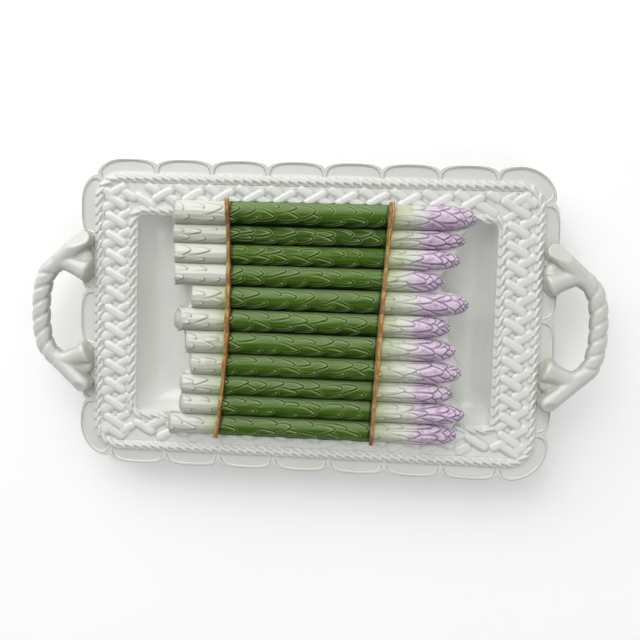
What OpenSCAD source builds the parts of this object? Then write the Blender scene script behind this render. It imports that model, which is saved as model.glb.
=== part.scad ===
/* [Border] */
// Length of the flat woven border, without the lobes
border_l = 312; // [300:1:330]
// Width of the flat woven border, without the lobes
border_w = 196; // [190:1:210]
// Radius of the border's corners
border_r = 18; // [16:1:24]
// Height of the border's top over the table
border_h = 28; // [26:0.5:34]
// Thickness of the border
border_t = 5; // [4:0.5:7]
// Width of the border at the two ends of the plate
end_band_w = 30.5; // [29:0.5:33]
// Width of the border along the two long sides
side_band_w = 28.5; // [27:0.5:31]

/* [Well] */
// Radius of the well's corners
well_r = 7; // [4:1:12]
// How far the coved wall runs in, from the border to the flat floor
cove_run = 17; // [12:1:20]
// Thickness of the walls and of the floor
wall_t = 5; // [4:0.5:6]
// How far the hollow under the bundle stands in from the bundle's ends
hollow_end_inset = 30.3; // [28:0.1:45]
// How far the hollow under the bundle stands in from the foot ring
hollow_side_inset = 2.5; // [1.5:0.5:10]
// Radius of the hollow's corners
hollow_r = 14; // [6:1:20]

/* [Foot ring] */
// Height of the foot ring
foot_h = 3; // [2:0.5:5]
// Width of the band that stands on the table
foot_band_w = 5; // [4:0.5:6]
// How far the foot ring stands in from the foot of the coved wall
foot_inset = 1; // [0:0.5:1.5]
// Radius of the foot ring's corners
foot_r = 12; // [8:1:20]

/* [Lobed rim] */
// Number of lobes round the rim
lobe_count = 25; // [20:1:30]
// How far a lobe reaches past the border
lobe_reach = 10.5; // [9:0.5:13]
// How far a notch between two lobes reaches past the border
notch_reach = 5; // [4:0.5:7]
// Roundness of a lobe, where 2 is an ellipse and more is squarer
lobe_power = 2.6; // [2:0.1:3.5]
// Thickness of the rim
rim_t = 4; // [3:0.5:6]
// Width of the raised bead that edges each lobe
bead_w = 1.8; // [1.2:0.1:2.4]
// Depth of the dished panel inside a bead
panel_depth = 1.4; // [0.8:0.1:2]

/* [Ropes] */
// Distance from the border's edge to the middle of the outer rope
outer_rope_inset = 3; // [3:0.25:5]
// Space from one strand of the outer rope to the next
outer_strand_pitch = 6.36; // [6.2:0.01:7]
// Distance from the well's edge to the middle of the inner rope
inner_rope_inset = 3.25; // [3:0.25:5]
// Radius of the inner rope's corners
inner_rope_r = 7; // [6:0.5:9]
// Space from one strand of the inner rope to the next
inner_strand_pitch = 6.8; // [6.5:0.1:8]
// Width of a strand
strand_w = 3.6; // [3:0.1:3.8]
// Length of a strand
strand_l = 6.4; // [5.6:0.1:6.6]
// Angle of a strand to its rope
strand_angle = 40; // [36:1:46]
// Width of the flat strip that carries a rope's strands
rope_band_w = 6; // [5.8:0.1:6.6]
// Thickness of the flat strip that carries a rope's strands
rope_band_t = 0.8; // [0.5:0.1:1.2]

/* [Woven border] */
// Width of the main strips of the weave
strip_w = 5.8; // [4.5:0.1:6]
// Width of the strips that pass under them
under_strip_w = 4.8; // [3.4:0.1:5]
// Length of a strip
strip_l = 17; // [15:0.5:18]
// Angle of the strips to the length of the plate
strip_angle = 30; // [25:1:35]
// Space from one strip to the next on the two short sides
end_strip_pitch = 13.1; // [12:0.1:15]
// Space from one strip to the next on the two long sides
side_strip_pitch = 21.5; // [20:0.1:24]
// How far the right end's weave lies in from the middle of its band
weave_shift = 2.5; // [0:0.1:4]
// Space left between the weave and a rope, and between trim and bundle
trim_gap = 0.3; // [0.2:0.05:0.6]

/* [Bundle of asparagus] */
// Mean length of the open well between the bundle and an end of the well
open_well_l = 20.2; // [17:0.1:26]
// How far the bundle reaches over the border on either long side
bundle_lap_w = 13.3; // [11:0.1:15]
// How far the bundle's middle lies to the right of the plate's middle
bundle_shift_l = 4.7; // [0:0.1:6]
// How far the bundle's middle lies to the front of the plate's middle
bundle_shift_w = 1.8; // [0:0.1:3]
// Height of the bed over the border under the outermost spears
bed_edge_h = 2.4; // [1.5:0.1:4]
// Height of the bed over the border under the middle spear
bed_crown_h = 7.6; // [6:0.1:10]
// How far the bed's ends lean out from the spears to the floor
bed_draft = 4; // [2:0.5:6]
// How far a stalk's cut face leans in from its land to its crest
butt_lean = 2.5; // [0:0.5:4]
// Length of a bud, as a share of the bundle's length
bud_share = 0.1804; // [0.15:0.0001:0.2]
// How far a bud's tip stands out over the end of its bed
bud_overhang = 3; // [1:0.5:5]
// Height of the bracts and scales over the stalk
bract_relief = 0.8; // [0.4:0.1:1.2]
// Length of a bract on the stalks
bract_l = 15; // [12:0.5:16]
// Width of a bract on the stalks
bract_w = 5.2; // [4:0.1:6]
// Space from one bract to the next in its row
bract_pitch = 19; // [17:0.5:24]

/* [Ties] */
// Distance from the plate's middle to the left tie, as a share of the bundle's length
tie_left_share = 0.2991; // [0.27:0.0001:0.31]
// Distance from the plate's middle to the right tie, as a share of the bundle's length
tie_right_share = 0.2293; // [0.21:0.0001:0.25]
// Angle between the left tie and a straight line over the bundle
tie_left_lean = 1.6; // [-3:0.1:3]
// Angle between the right tie and a straight line over the bundle
tie_right_lean = 3; // [-3:0.1:4]
// How far the middle of the left tie bows inwards
tie_left_bow = 5.5; // [0:0.5:8]
// How far the middle of the right tie bows inwards
tie_right_bow = 0.5; // [0:0.5:8]
// Width of a tie
tie_w = 2.6; // [2:0.1:3.4]
// Height of a tie over the crests of the spears
tie_t = 1.3; // [0.8:0.1:2]
// How far a tie sags between two crests
tie_sag = 1.6; // [0.5:0.1:2.5]

/* [Handles] */
// How far a handle reaches past the border
handle_reach = 45; // [40:1:52]
// Width of a handle, between the middles of its two corners
handle_span = 72; // [64:1:80]
// Thickness of the twisted bar
bar_d = 13.2; // [11:0.1:15]
// Length of one full turn of the bar's twist
twist_pitch = 21.5; // [16:0.5:30]
// Depth of the grooves between the bar's two strands
groove_depth = 1.1; // [0.5:0.1:2]
// Height of the bar's middle over the border
bar_rise = 2; // [0:0.5:6]
// Height of the arms' middle over the border where they are joined
root_rise = 3.6; // [3:0.1:5]
// How much an arm swells towards its root
root_swell = 1.5; // [0:0.1:2]
// Space between a cut branch stub and the edge of the border
stub_inset = 1; // [0.5:0.1:3]
// Diameter of a stub at its cut end
stub_d = 12; // [10:0.1:13]
// Diameter of a stub where it leaves the handle
stub_root_d = 12.4; // [11:0.1:13]
// Height of a stub's cut face over the border
stub_face_h = 9.2; // [8:0.1:10]

/* [Hidden] */

// Fineness of round faces
$fn = 64;
// Overrun of every cut past the face that it starts from
cut = 1;

// Levels over the table
floor_z = foot_h + wall_t;
well_depth = border_h - floor_z;

// Lengths and widths of the well, the foot ring, the ropes, the bundle and its hollow
well_l = border_l - 2 * end_band_w;
well_w = border_w - 2 * side_band_w;
foot_ring_l = well_l - 2 * cove_run - 2 * foot_inset;
foot_ring_w = well_w - 2 * cove_run - 2 * foot_inset;
outer_rope_l = border_l - 2 * outer_rope_inset;
outer_rope_w = border_w - 2 * outer_rope_inset;
outer_rope_r = border_r - outer_rope_inset;
inner_rope_l = well_l + 2 * inner_rope_inset;
inner_rope_w = well_w + 2 * inner_rope_inset;
bundle_l = well_l - 2 * open_well_l;
bundle_w = well_w + 2 * bundle_lap_w;
bud_l = bundle_l * bud_share;
hollow_l = bundle_l - 2 * hollow_end_inset;
hollow_w = foot_ring_w - 2 * foot_band_w - 2 * hollow_side_inset;

// Where the eleven spears part, as shares of the bundle's width, from back to front
spear_edge_shares = [0.5, 0.395, 0.317, 0.2325, 0.1425, 0.0465,
    -0.0475, -0.142, -0.235, -0.319, -0.408, -0.5];
// How far each butt and each tip stands in from the bundle's ends, as shares of its length
butt_shares = [0.02, 0.007, 0.012, 0.014, 0.072, 0.045, 0.054, 0.071, 0.045, 0.048, 0];
tip_shares = [0, 0.033, 0.048, 0.097, 0.016, 0.071, 0.051, 0.029, 0.052, 0.013, 0.036];
spear_count = len(butt_shares);
middle_spear = (spear_count - 1) / 2;
// Height of a stalk as a share of its width
crest_share = 0.46;

// Stagger of the bracts from spear to spear, and the gap between its two rows
row_share = 0.37;
row_gap_share = 0.42;
// Curve of a bud from its foot to its tip
bud_power = 3;
bud_taper = 0.56;
// Scales of a bud: place along it, place across it, length and width, as shares of its size
scale_shares = [[0.4, 0.31, 0.38, 0.24], [0.47, 0.02, 0.44, 0.26], [0.38, -0.3, 0.36, 0.24],
    [0.63, 0.2, 0.26, 0.24], [0.66, -0.17, 0.28, 0.24], [0.84, 0.03, 0.3, 0.24]];
// Middle line of a handle: how far out, as a share of its reach, and how far along, as a share
// of half its width, from the middle of its bar round a corner to the end of its arm
handle_shares = [[1, 0], [0.985, 0.366], [0.885, 0.738], [0.62, 0.973], [0.31, 0.88], [0.11, 0.79]];
// Where the handle rises to its roots, where its twist fades and where its arms swell, as shares
// of its reach
rise_share = 0.6;
groove_fade_shares = [0.72, 0.92];
root_swell_share = 0.4;
tiny_share = 0.01;
// Where a stub forks from the handle, as stretches of its middle line from the end of its arm
stub_root_share = 2.5;
// Lift of a stub from the rim
stub_lift = 7;

function spear_y0(i) = bundle_w * spear_edge_shares[i + 1] - bundle_shift_w;
function spear_y1(i) = bundle_w * spear_edge_shares[i] - bundle_shift_w;
function spear_w(i) = spear_y1(i) - spear_y0(i);
function spear_y(i) = (spear_y0(i) + spear_y1(i)) / 2;
function butt_x(i) = bundle_shift_l - bundle_l / 2 + bundle_l * butt_shares[i];
function tip_x(i) = bundle_shift_l + bundle_l / 2 - bundle_l * tip_shares[i];
function bud_x(i) = tip_x(i) - bud_l;
function land_z(i) = border_h + bed_edge_h
    + (bed_crown_h - bed_edge_h) * (1 - pow((i - middle_spear) / middle_spear, 2));
// Where the bed's leaning end under a butt meets the border
function bed_butt_x(i) =
    butt_x(i) - bed_draft * (land_z(i) - border_h) / (land_z(i) - floor_z);
function crest_h(i) = spear_w(i) * crest_share;
function stalk_r(i) = (pow(spear_w(i) / 2, 2) + pow(crest_h(i), 2)) / (2 * crest_h(i));

// Point and heading at distance s along a rounded rectangle, clockwise from the middle of
// its left back corner
function loop_length(l, w, r) = 2 * (l + w) - 8 * r + 2 * PI * r;
function corner_point(l, w, r, turn, qx, qy) =
    [qx * (l / 2 - r) + r * cos(turn), qy * (w / 2 - r) + r * sin(turn), turn - 90];
function loop_point(s, l, w, r) =
    let (
        arc = PI * r / 2,
        back = l - 2 * r,
        side = w - 2 * r,
        t = (s + loop_length(l, w, r)) % loop_length(l, w, r),
        s1 = arc / 2,
        s2 = s1 + back,
        s3 = s2 + arc,
        s4 = s3 + side,
        s5 = s4 + arc,
        s6 = s5 + back,
        s7 = s6 + arc,
        s8 = s7 + side
    )
    t < s1 ? corner_point(l, w, r, 180 - 90 * (t + s1) / arc, -1, 1)
    : t < s2 ? [-back / 2 + t - s1, w / 2, 0]
    : t < s3 ? corner_point(l, w, r, 90 - 90 * (t - s2) / arc, 1, 1)
    : t < s4 ? [l / 2, side / 2 - (t - s3), -90]
    : t < s5 ? corner_point(l, w, r, -90 * (t - s4) / arc, 1, -1)
    : t < s6 ? [back / 2 - (t - s5), -w / 2, 180]
    : t < s7 ? corner_point(l, w, r, 270 - 90 * (t - s6) / arc, -1, -1)
    : t < s8 ? [-l / 2, -side / 2 + t - s7, 90]
    : corner_point(l, w, r, 180 - 90 * (t - s8) / arc, -1, 1);

module rounded_rect(l, w, r) {
    square([l - 2 * r, w], center = true);
    square([l, w - 2 * r], center = true);
    for (qx = [-1, 1], qy = [-1, 1]) translate([qx * (l / 2 - r), qy * (w / 2 - r)]) circle(r);
}

// Section of the well across one of its widths, grown outwards by a wall
module cove_section(width, grow, top) {
    flat = width / 2 - cove_run;
    steps = 12;
    function side(q, k) =
        let (a = 90 * k / steps)
        [q * (flat + (cove_run + grow) * cos(a)), border_h - (well_depth + grow) * sin(a)];
    polygon(concat([for (k = [0 : steps]) side(1, k)], [for (k = [steps : -1 : 0]) side(-1, k)],
        top > border_h ? [[-width / 2 - grow, top], [width / 2 + grow, top]] : []));
}

// The well as a solid: two coved sections crossed, with rounded corners
module well_space(grow, top) {
    intersection() {
        rotate([90, 0, 0]) linear_extrude(well_w + 2 * wall_t + 2 * cut, center = true)
            cove_section(well_l, grow, top);
        rotate([90, 0, 90]) linear_extrude(well_l + 2 * wall_t + 2 * cut, center = true)
            cove_section(well_w, grow, top);
        linear_extrude(top + cut)
            rounded_rect(well_l + 2 * grow, well_w + 2 * grow, well_r + grow);
    }
}

module bundle_hollow() {
    linear_extrude(border_h) rounded_rect(hollow_l, hollow_w, hollow_r);
}

module border_outline() {
    rounded_rect(border_l, border_w, border_r);
}

module dish_body() {
    color("ivory") difference() {
        union() {
            translate([0, 0, border_h - border_t]) linear_extrude(border_t) border_outline();
            well_space(wall_t, border_h);
        }
        well_space(0, border_h + cut);
        bundle_hollow();
    }
}

// The band under the flat floor that the dish stands on
module foot_ring() {
    color("ivory") linear_extrude(foot_h) difference() {
        rounded_rect(foot_ring_l, foot_ring_w, foot_r);
        rounded_rect(foot_ring_l - 2 * foot_band_w, foot_ring_w - 2 * foot_band_w,
            foot_r - foot_band_w);
    }
}

// Points of one lobe, at a distance past the border, drawn in by inset from its edge
function lobe_points(i, inset, steps) =
    let (
        pitch = loop_length(border_l, border_w, border_r) / lobe_count,
        half = pitch / 2 - inset
    )
    [for (k = [0 : steps])
        let (
            u = -cos(180 * k / steps),
            p = loop_point((i + 0.5) * pitch + u * half, border_l, border_w, border_r),
            rise = pow(1 - pow(abs(u), lobe_power), 1 / lobe_power),
            d = notch_reach + (lobe_reach - notch_reach) * rise - inset
        )
        [p.x - d * sin(p.z), p.y + d * cos(p.z)]];

// Points of a panel's inner side, just past the border, from its far end back
function panel_root_points(i, inset, steps) =
    let (
        pitch = loop_length(border_l, border_w, border_r) / lobe_count,
        half = pitch / 2 - inset
    )
    [for (k = [steps : -1 : 0])
        let (p = loop_point((i + 0.5) * pitch - cos(180 * k / steps) * half,
            border_l, border_w, border_r))
        [p.x - bead_w * sin(p.z), p.y + bead_w * cos(p.z)]];

// Lobes round the border, each with a dished panel inside a raised bead
module lobed_rim() {
    steps = 14;
    color("ivory") difference() {
        translate([0, 0, border_h - rim_t]) linear_extrude(rim_t) difference() {
            polygon([for (i = [0 : lobe_count - 1], p = lobe_points(i, 0, steps)) p]);
            border_outline();
        }
        for (i = [0 : lobe_count - 1])
            translate([0, 0, border_h - panel_depth]) linear_extrude(panel_depth + cut)
                polygon(concat(lobe_points(i, bead_w, steps), panel_root_points(i, bead_w, steps)));
    }
}

// A half round strand lying on a flat face, along X, with round ends
module strand(l, w) {
    rotate([90, 0, 0]) rotate([0, 90, 0]) rotate_extrude(angle = 180) intersection() {
        union() {
            square([w, l - w], center = true);
            for (q = [-1, 1]) translate([0, q * (l - w) / 2]) circle(w / 2);
        }
        translate([0, -l / 2]) square([w / 2, l]);
    }
}

// Strands laid at a slant along a rounded rectangle, from distance s0 to s1
module strands_along(s0, s1, count, l, w, r) {
    pitch = (s1 - s0) / count;
    for (k = [0 : count - 1]) {
        p = loop_point(s0 + (k + 0.5) * pitch, l, w, r);
        translate([p.x, p.y, border_h + rope_band_t]) rotate([0, 0, p.z - strand_angle])
            strand(strand_l, strand_w);
    }
}

// Ground plan of the strip under a rope
module rope_plan(l, w, r) {
    half = rope_band_w / 2;
    difference() {
        rounded_rect(l + 2 * half, w + 2 * half, r + half);
        rounded_rect(l - 2 * half, w - 2 * half, r - half);
    }
}

module outer_rope() {
    whole = loop_length(outer_rope_l, outer_rope_w, outer_rope_r);
    color("ivory") {
        translate([0, 0, border_h]) linear_extrude(rope_band_t)
            rope_plan(outer_rope_l, outer_rope_w, outer_rope_r);
        strands_along(0, whole, round(whole / outer_strand_pitch),
            outer_rope_l, outer_rope_w, outer_rope_r);
    }
}

// One end of the inner rope, from the bundle round the well and back to the bundle
module inner_rope(end, end_back, end_front) {
    x_back = end_back + end * strand_l / 2;
    x_front = end_front + end * strand_l / 2;
    arc = PI * inner_rope_r / 2;
    straight = inner_rope_l / 2 - inner_rope_r;
    side = inner_rope_w - 2 * inner_rope_r;
    s0 = end > 0 ? arc / 2 + straight + x_back : -1.5 * arc - side - straight - x_front;
    s1 = end > 0 ? s0 + (straight - x_back) + 2 * arc + side + (straight - x_front)
        : arc / 2 + straight + x_back;
    count = floor((s1 - s0) / inner_strand_pitch);
    color("ivory") {
        strands_along(s0, s1, count, inner_rope_l, inner_rope_w, inner_rope_r);
        translate([0, 0, border_h]) linear_extrude(rope_band_t) intersection() {
            rope_plan(inner_rope_l, inner_rope_w, inner_rope_r);
            for (q = [[1, end_back], [-1, end_front]])
                translate([q[1] + end * trim_gap, q[0] > 0 ? 0 : -border_w])
                    mirror([end > 0 ? 0 : 1, 0]) square([border_l, border_w]);
        }
    }
}

module inner_rope_left() {
    inner_rope(-1, bed_butt_x(0), bed_butt_x(spear_count - 1));
}

module inner_rope_right() {
    inner_rope(1, tip_x(0), tip_x(spear_count - 1));
}

// Ground plan of the two outermost spears, where they lie on the border
module bundle_plan() {
    for (i = [0, spear_count - 1])
        translate([bed_butt_x(i) - trim_gap, spear_y0(i) - trim_gap])
            square([tip_x(i) - bed_butt_x(i) + 2 * trim_gap, spear_w(i) + 2 * trim_gap]);
}

// Ground plan of the border between its two ropes
module weave_plan() {
    edge = rope_band_w + 2 * trim_gap;
    difference() {
        rounded_rect(outer_rope_l - edge, outer_rope_w - edge, outer_rope_r - edge / 2);
        rounded_rect(inner_rope_l + edge, inner_rope_w + edge, inner_rope_r + edge / 2);
        bundle_plan();
    }
}

// Main strips that fall one way over strips that rise the other way, down one short side
module end_weave(end, shift) {
    mid = (outer_rope_l + inner_rope_l) / 4;
    count = floor((outer_rope_w - rope_band_w) / end_strip_pitch / 2);
    color("ivory") intersection() {
        for (k = [-count : count]) translate([end * mid + shift, k * end_strip_pitch, border_h]) {
            rotate([0, 0, -strip_angle]) strand(strip_l, strip_w);
            translate([0, end_strip_pitch / 2, 0]) rotate([0, 0, strip_angle])
                strand(strip_l + strip_w, under_strip_w);
        }
        translate([0, 0, border_h]) linear_extrude(strip_w) intersection() {
            weave_plan();
            translate([end * mid, 0]) square([border_w / 4, outer_rope_w], center = true);
        }
    }
}

module weave_left() {
    end_weave(-1, 0);
}

module weave_right() {
    end_weave(1, -weave_shift);
}

// Rising strips and the shorter falling ones between them, along one long side
module side_weave(side) {
    mid = side * (outer_rope_w + inner_rope_w) / 4;
    count = floor(inner_rope_l / side_strip_pitch / 2);
    color("ivory") intersection() {
        for (k = [-count : count]) translate([k * side_strip_pitch, mid, border_h]) {
            rotate([0, 0, strip_angle]) strand(strip_l, strip_w);
            translate([side_strip_pitch / 2, strip_w / 4, 0]) rotate([0, 0, -strip_angle])
                strand(strip_l - strip_w / 2, under_strip_w);
        }
        translate([0, 0, border_h]) linear_extrude(strip_w) intersection() {
            weave_plan();
            translate([0, mid]) square([inner_rope_l, border_w / 4], center = true);
        }
    }
}

module weave_top() {
    side_weave(1);
}

module weave_bottom() {
    side_weave(-1);
}

// One spear's slice of the bed, from the floor to its land, rounded with the bud's tip
module bed_slice(i) {
    end_x = tip_x(i) - bud_overhang;
    intersection() {
        translate([0, spear_y1(i), 0]) rotate([90, 0, 0]) linear_extrude(spear_w(i)) polygon([
            [butt_x(i) - bed_draft, floor_z], [end_x + bed_draft, floor_z],
            [end_x, land_z(i)], [butt_x(i), land_z(i)]]);
        translate([bud_x(i), spear_y(i), 0]) linear_extrude(land_z(i) + cut) {
            translate([-bundle_l, -spear_w(i)]) square([bundle_l, 2 * spear_w(i)]);
            for (q = [0, 1]) mirror([0, q]) rotate([0, 0, -90]) mirror([1, 0])
                bud_section(i, bed_draft);
        }
    }
}

// The raised bed that carries the spears, hollow underneath, with one land for each spear
module bundle_bed() {
    color("honeydew") difference() {
        intersection() {
            for (i = [0 : spear_count - 1]) bed_slice(i);
            union() {
                well_space(0, border_h);
                translate([-border_l / 2, -border_w / 2, border_h])
                    cube([border_l, border_w, bed_crown_h + cut]);
            }
        }
        bundle_hollow();
    }
}

// Ground plan of a leaf that is pointed at both ends, with its tip at the origin
module leaf(l, w) {
    r = (l * l + w * w) / (4 * w);
    translate([-l / 2, 0]) intersection_for (q = [-1, 1]) translate([0, q * (r - w / 2)]) circle(r);
}

// End view of a stalk, standing on its land, grown outwards
module stalk_section(i, grow) {
    r = stalk_r(i) + grow;
    intersection() {
        translate([0, crest_h(i) - stalk_r(i)]) circle(r);
        translate([-r, 0]) square([2 * r, crest_h(i) + grow]);
    }
}

// Course of a tie over the bundle, seen from above
function tie_bend(bow, y) = bow * (1 - pow(2 * (y + bundle_shift_w) / bundle_w, 2));
function tie_x(end, y) = end < 0
    ? -tie_left_share * bundle_l + y * tan(tie_left_lean) + tie_bend(tie_left_bow, y)
    : tie_right_share * bundle_l + y * tan(tie_right_lean) - tie_bend(tie_right_bow, y);
function clear_of_tie(end, y, x0, x1) =
    x1 < tie_x(end, y) - tie_w || x0 > tie_x(end, y) + tie_w;

// Ground plan of a stalk's bracts: two staggered rows that keep clear of both ties
module bract_plan(i) {
    count = floor(bundle_l / bract_pitch);
    for (row = [0, 1], k = [0 : count]) {
        y = spear_y(i);
        x = butt_x(i) + (k + row / 2 + i * row_share % 1) * bract_pitch + bract_l;
        if (x < bud_x(i) && clear_of_tie(-1, y, x - bract_l, x) && clear_of_tie(1, y, x - bract_l, x))
            translate([x, (row - 0.5) * spear_w(i) * row_gap_share]) leaf(bract_l, bract_w);
    }
}

// A stalk, from its slanted cut butt to the foot of its bud, with its bracts
module spear(i) {
    l = bud_x(i) - butt_x(i);
    color("olivedrab") translate([0, spear_y(i), land_z(i)]) {
        intersection() {
            translate([butt_x(i), 0, 0]) rotate([90, 0, 90]) linear_extrude(l) stalk_section(i, 0);
            translate([0, spear_w(i), 0]) rotate([90, 0, 0]) linear_extrude(2 * spear_w(i)) polygon([
                [butt_x(i), 0], [bud_x(i), 0], [bud_x(i), crest_h(i) + cut],
                [butt_x(i) + butt_lean * (1 + cut / crest_h(i)), crest_h(i) + cut]]);
        }
        intersection() {
            translate([butt_x(i), 0, 0]) rotate([90, 0, 90]) linear_extrude(l)
                stalk_section(i, bract_relief);
            linear_extrude(crest_h(i) + bract_relief) bract_plan(i);
        }
    }
}

// A bud's half section, grown outwards, from its foot at the origin to its tip along Y
module bud_section(i, grow) {
    steps = 8;
    polygon(concat([[0, 0]], [for (k = [0 : steps])
        let (t = sin(90 * k / steps))
        [(spear_w(i) / 2 + grow) * pow(1 - pow(t, bud_power), bud_taper),
            (bud_l + grow) * t]]));
}

module half_bud(i, grow) {
    rotate([90, 0, 0]) rotate([0, 90, 0]) rotate_extrude(angle = 180) bud_section(i, grow);
}

// A bud lying on its land, with overlapping scales
module bud(i) {
    w = spear_w(i);
    color("plum") translate([bud_x(i), spear_y(i), land_z(i)]) {
        half_bud(i, 0);
        intersection() {
            half_bud(i, bract_relief);
            linear_extrude(w) for (s = scale_shares)
                translate([s[0] * bud_l, s[1] * w]) leaf(s[2] * bud_l, s[3] * w);
            translate([0, -w / 2, 0]) cube([bud_l, w, w]);
        }
    }
}

// End view of the whole bundle down to the border
module bundle_section() {
    for (i = [0 : spear_count - 1]) {
        translate([spear_y(i), land_z(i)]) stalk_section(i, 0);
        translate([spear_y0(i), border_h]) square([spear_w(i), land_z(i) - border_h]);
    }
}

// End view of a tie: over every crest, with a sag between, and down to the border at both ends
function tie_top(i) = land_z(i) + crest_h(i) + tie_t;
function tie_valley(i, j) = (tie_top(i) + tie_top(j)) / 2 - tie_sag;
function tie_side(i, q) =
    let (steps = 6)
    [for (k = [0 : steps])
        let (a = 90 * k / steps)
        [spear_y(i) + q * (spear_w(i) / 2 + tie_t) * sin(a),
            land_z(i) + (crest_h(i) + tie_t) * cos(a)]];
function tie_dip(i, y_end, j) =
    let (steps = 4)
    [for (k = [0 : steps])
        let (a = 180 * k / steps)
        [spear_y(i) + (y_end - spear_y(i)) * k / steps,
            tie_top(i) + (tie_valley(i, j) - tie_top(i)) * (1 - cos(a)) / 2]];
function backwards(v) = [for (k = [len(v) - 1 : -1 : 0]) v[k]];

// A tie laid over the bundle on its bent course
module tie(end) {
    last = spear_count - 1;
    steps = 16;
    reach = bundle_w / 2 + bundle_shift_w + 2 * tie_t;
    ridge = concat([[spear_y1(0) + tie_t, border_h]], backwards(tie_side(0, 1)),
        [for (i = [0 : last], p = concat(
            i > 0 ? backwards(tie_dip(i, spear_y1(i), i - 1)) : [],
            i < last ? tie_dip(i, spear_y0(i), i + 1) : [])) p],
        tie_side(last, -1), [[spear_y0(last) - tie_t, border_h]]);
    course = [for (k = [-steps : steps]) reach * k / steps];
    color("peru") difference() {
        intersection() {
            translate([tie_x(end, 0), 0, 0]) rotate([90, 0, 90])
                linear_extrude(bundle_w / 4, center = true) polygon(ridge);
            translate([0, 0, border_h]) linear_extrude(bundle_w / 4) polygon(concat(
                [for (y = course) [tie_x(end, y) - tie_w / 2, y]],
                [for (y = backwards(course)) [tie_x(end, y) + tie_w / 2, y]]));
        }
        translate([tie_x(end, 0), 0, 0]) rotate([90, 0, 90])
            linear_extrude(bundle_w / 3, center = true) bundle_section();
    }
}

module tie_left() {
    tie(-1);
}

module tie_right() {
    tie(1);
}

function smooth(t) = let (u = min(max(t, 0), 1)) u * u * (3 - 2 * u);

// Middle line of the left handle, smoothed through its control points
function handle_knot(k) =
    let (
        n = len(handle_shares) - 1,
        s = handle_shares[min(abs(k), n)],
        q = k < 0 ? -1 : 1
    )
    [-border_l / 2 - s[0] * (handle_reach - bar_d / 2), q * s[1] * handle_span / 2,
        border_h + bar_rise + (root_rise - bar_rise) * smooth(1 - s[0] / rise_share)];
function handle_point(t) =
    let (
        n = len(handle_shares) - 1,
        k = min(max(floor(t), -n), n - 1),
        u = t - k,
        a = k > -n ? handle_knot(k - 1) : 2 * handle_knot(k) - handle_knot(k + 1),
        b = handle_knot(k),
        c = handle_knot(k + 1),
        d = k < n - 1 ? handle_knot(k + 2) : 2 * handle_knot(k + 1) - handle_knot(k)
    )
    (2 * b + (c - a) * u + (2 * a - 5 * b + 4 * c - d) * u * u
        + (3 * b - a - 3 * c + d) * u * u * u) / 2;
function handle_way(t) = handle_point(t + tiny_share) - handle_point(t - tiny_share);

// A ring of points round the handle's middle line, grooved by its twist and flat on its seat
function handle_ring(t, way, sides) =
    let (
        p = handle_point(t),
        f = handle_way(t) / norm(handle_way(t)),
        out = cross(f, [0, 0, 1]) / norm(cross(f, [0, 0, 1])),
        up = cross(out, f),
        share = (-p.x - border_l / 2) / (handle_reach - bar_d / 2),
        fade = groove_fade_shares,
        groove = groove_depth * smooth((share - fade[0]) / (fade[1] - fade[0])),
        swell = root_swell * smooth(1 - share / root_swell_share),
        seated = -p.x < border_l / 2 + lobe_reach + bar_d / 4
    )
    [for (k = [0 : sides - 1])
        let (
            a = 360 * k / sides,
            g = pow((1 + cos(2 * (a + 360 * way / twist_pitch))) / 2, 2),
            q = p + (bar_d / 2 + swell - groove * g) * (out * cos(a) + up * sin(a))
        )
        [q.x, q.y, seated ? max(q.z, border_h) : q.z]];

module handle() {
    sides = 16;
    n = len(handle_shares) - 1;
    rings = 56;
    step = 2 * n / rings;
    path = [for (k = [0 : rings]) -n + k * step];
    lengths = [for (k = [0 : rings]) k == 0 ? 0 : norm(handle_point(path[k]) - handle_point(path[k - 1]))];
    function run(k) = k == 0 ? 0 : lengths[k] + run(k - 1);
    points = [for (k = [0 : rings], q = handle_ring(path[k], run(k), sides)) q];
    skin = [for (k = [0 : rings - 1], m = [0 : sides - 1])
        let (a = k * sides + m, b = k * sides + (m + 1) % sides)
        for (f = [[a, b, b + sides], [a, b + sides, a + sides]]) f];
    polyhedron(points, concat(skin,
        [[for (m = [sides - 1 : -1 : 0]) m], [for (m = [0 : sides - 1]) rings * sides + m]]));
}

module handle_left() {
    color("ivory") handle();
}

module handle_right() {
    color("ivory") rotate([0, 0, 180]) handle();
}

// A branch with a round end, standing up from a neck that the handle holds
module branch(length) {
    steps = 6;
    rotate_extrude() polygon(concat([[0, 0], [bar_d / 2 - groove_depth, 0], [stub_root_d / 2, bar_d / 2]],
        [for (k = [0 : steps])
            let (a = 90 * k / steps)
            [stub_d / 2 * cos(a), length - stub_d / 2 * (1 - sin(a))]]));
}

// A cut branch that goes straight on where the left handle turns in to its arm, saddled on the
// handle and flat on the rim
module stub(side) {
    fork = len(handle_shares) - 1 - stub_root_share;
    root = handle_point(fork);
    way = handle_way(fork);
    turn = atan2(way.y, way.x);
    run = -border_l / 2 - stub_inset - stub_d / 2 - root.x;
    color("ivory") difference() {
        mirror([0, side > 0 ? 0 : 1, 0]) difference() {
            translate(root) rotate([0, 90 - stub_lift, turn])
                branch(run / cos(turn) / cos(stub_lift) + stub_d / 2);
            translate([-border_l, 0, border_h - border_l]) cube([border_l, border_l, border_l]);
            translate([-border_l, 0, border_h + stub_face_h]) cube([border_l, border_l, border_l]);
        }
        handle();
    }
}

module stub_left_back() {
    stub(1);
}

module stub_left_front() {
    stub(-1);
}

module stub_right_back() {
    rotate([0, 0, 180]) stub(-1);
}

module stub_right_front() {
    rotate([0, 0, 180]) stub(1);
}

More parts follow.
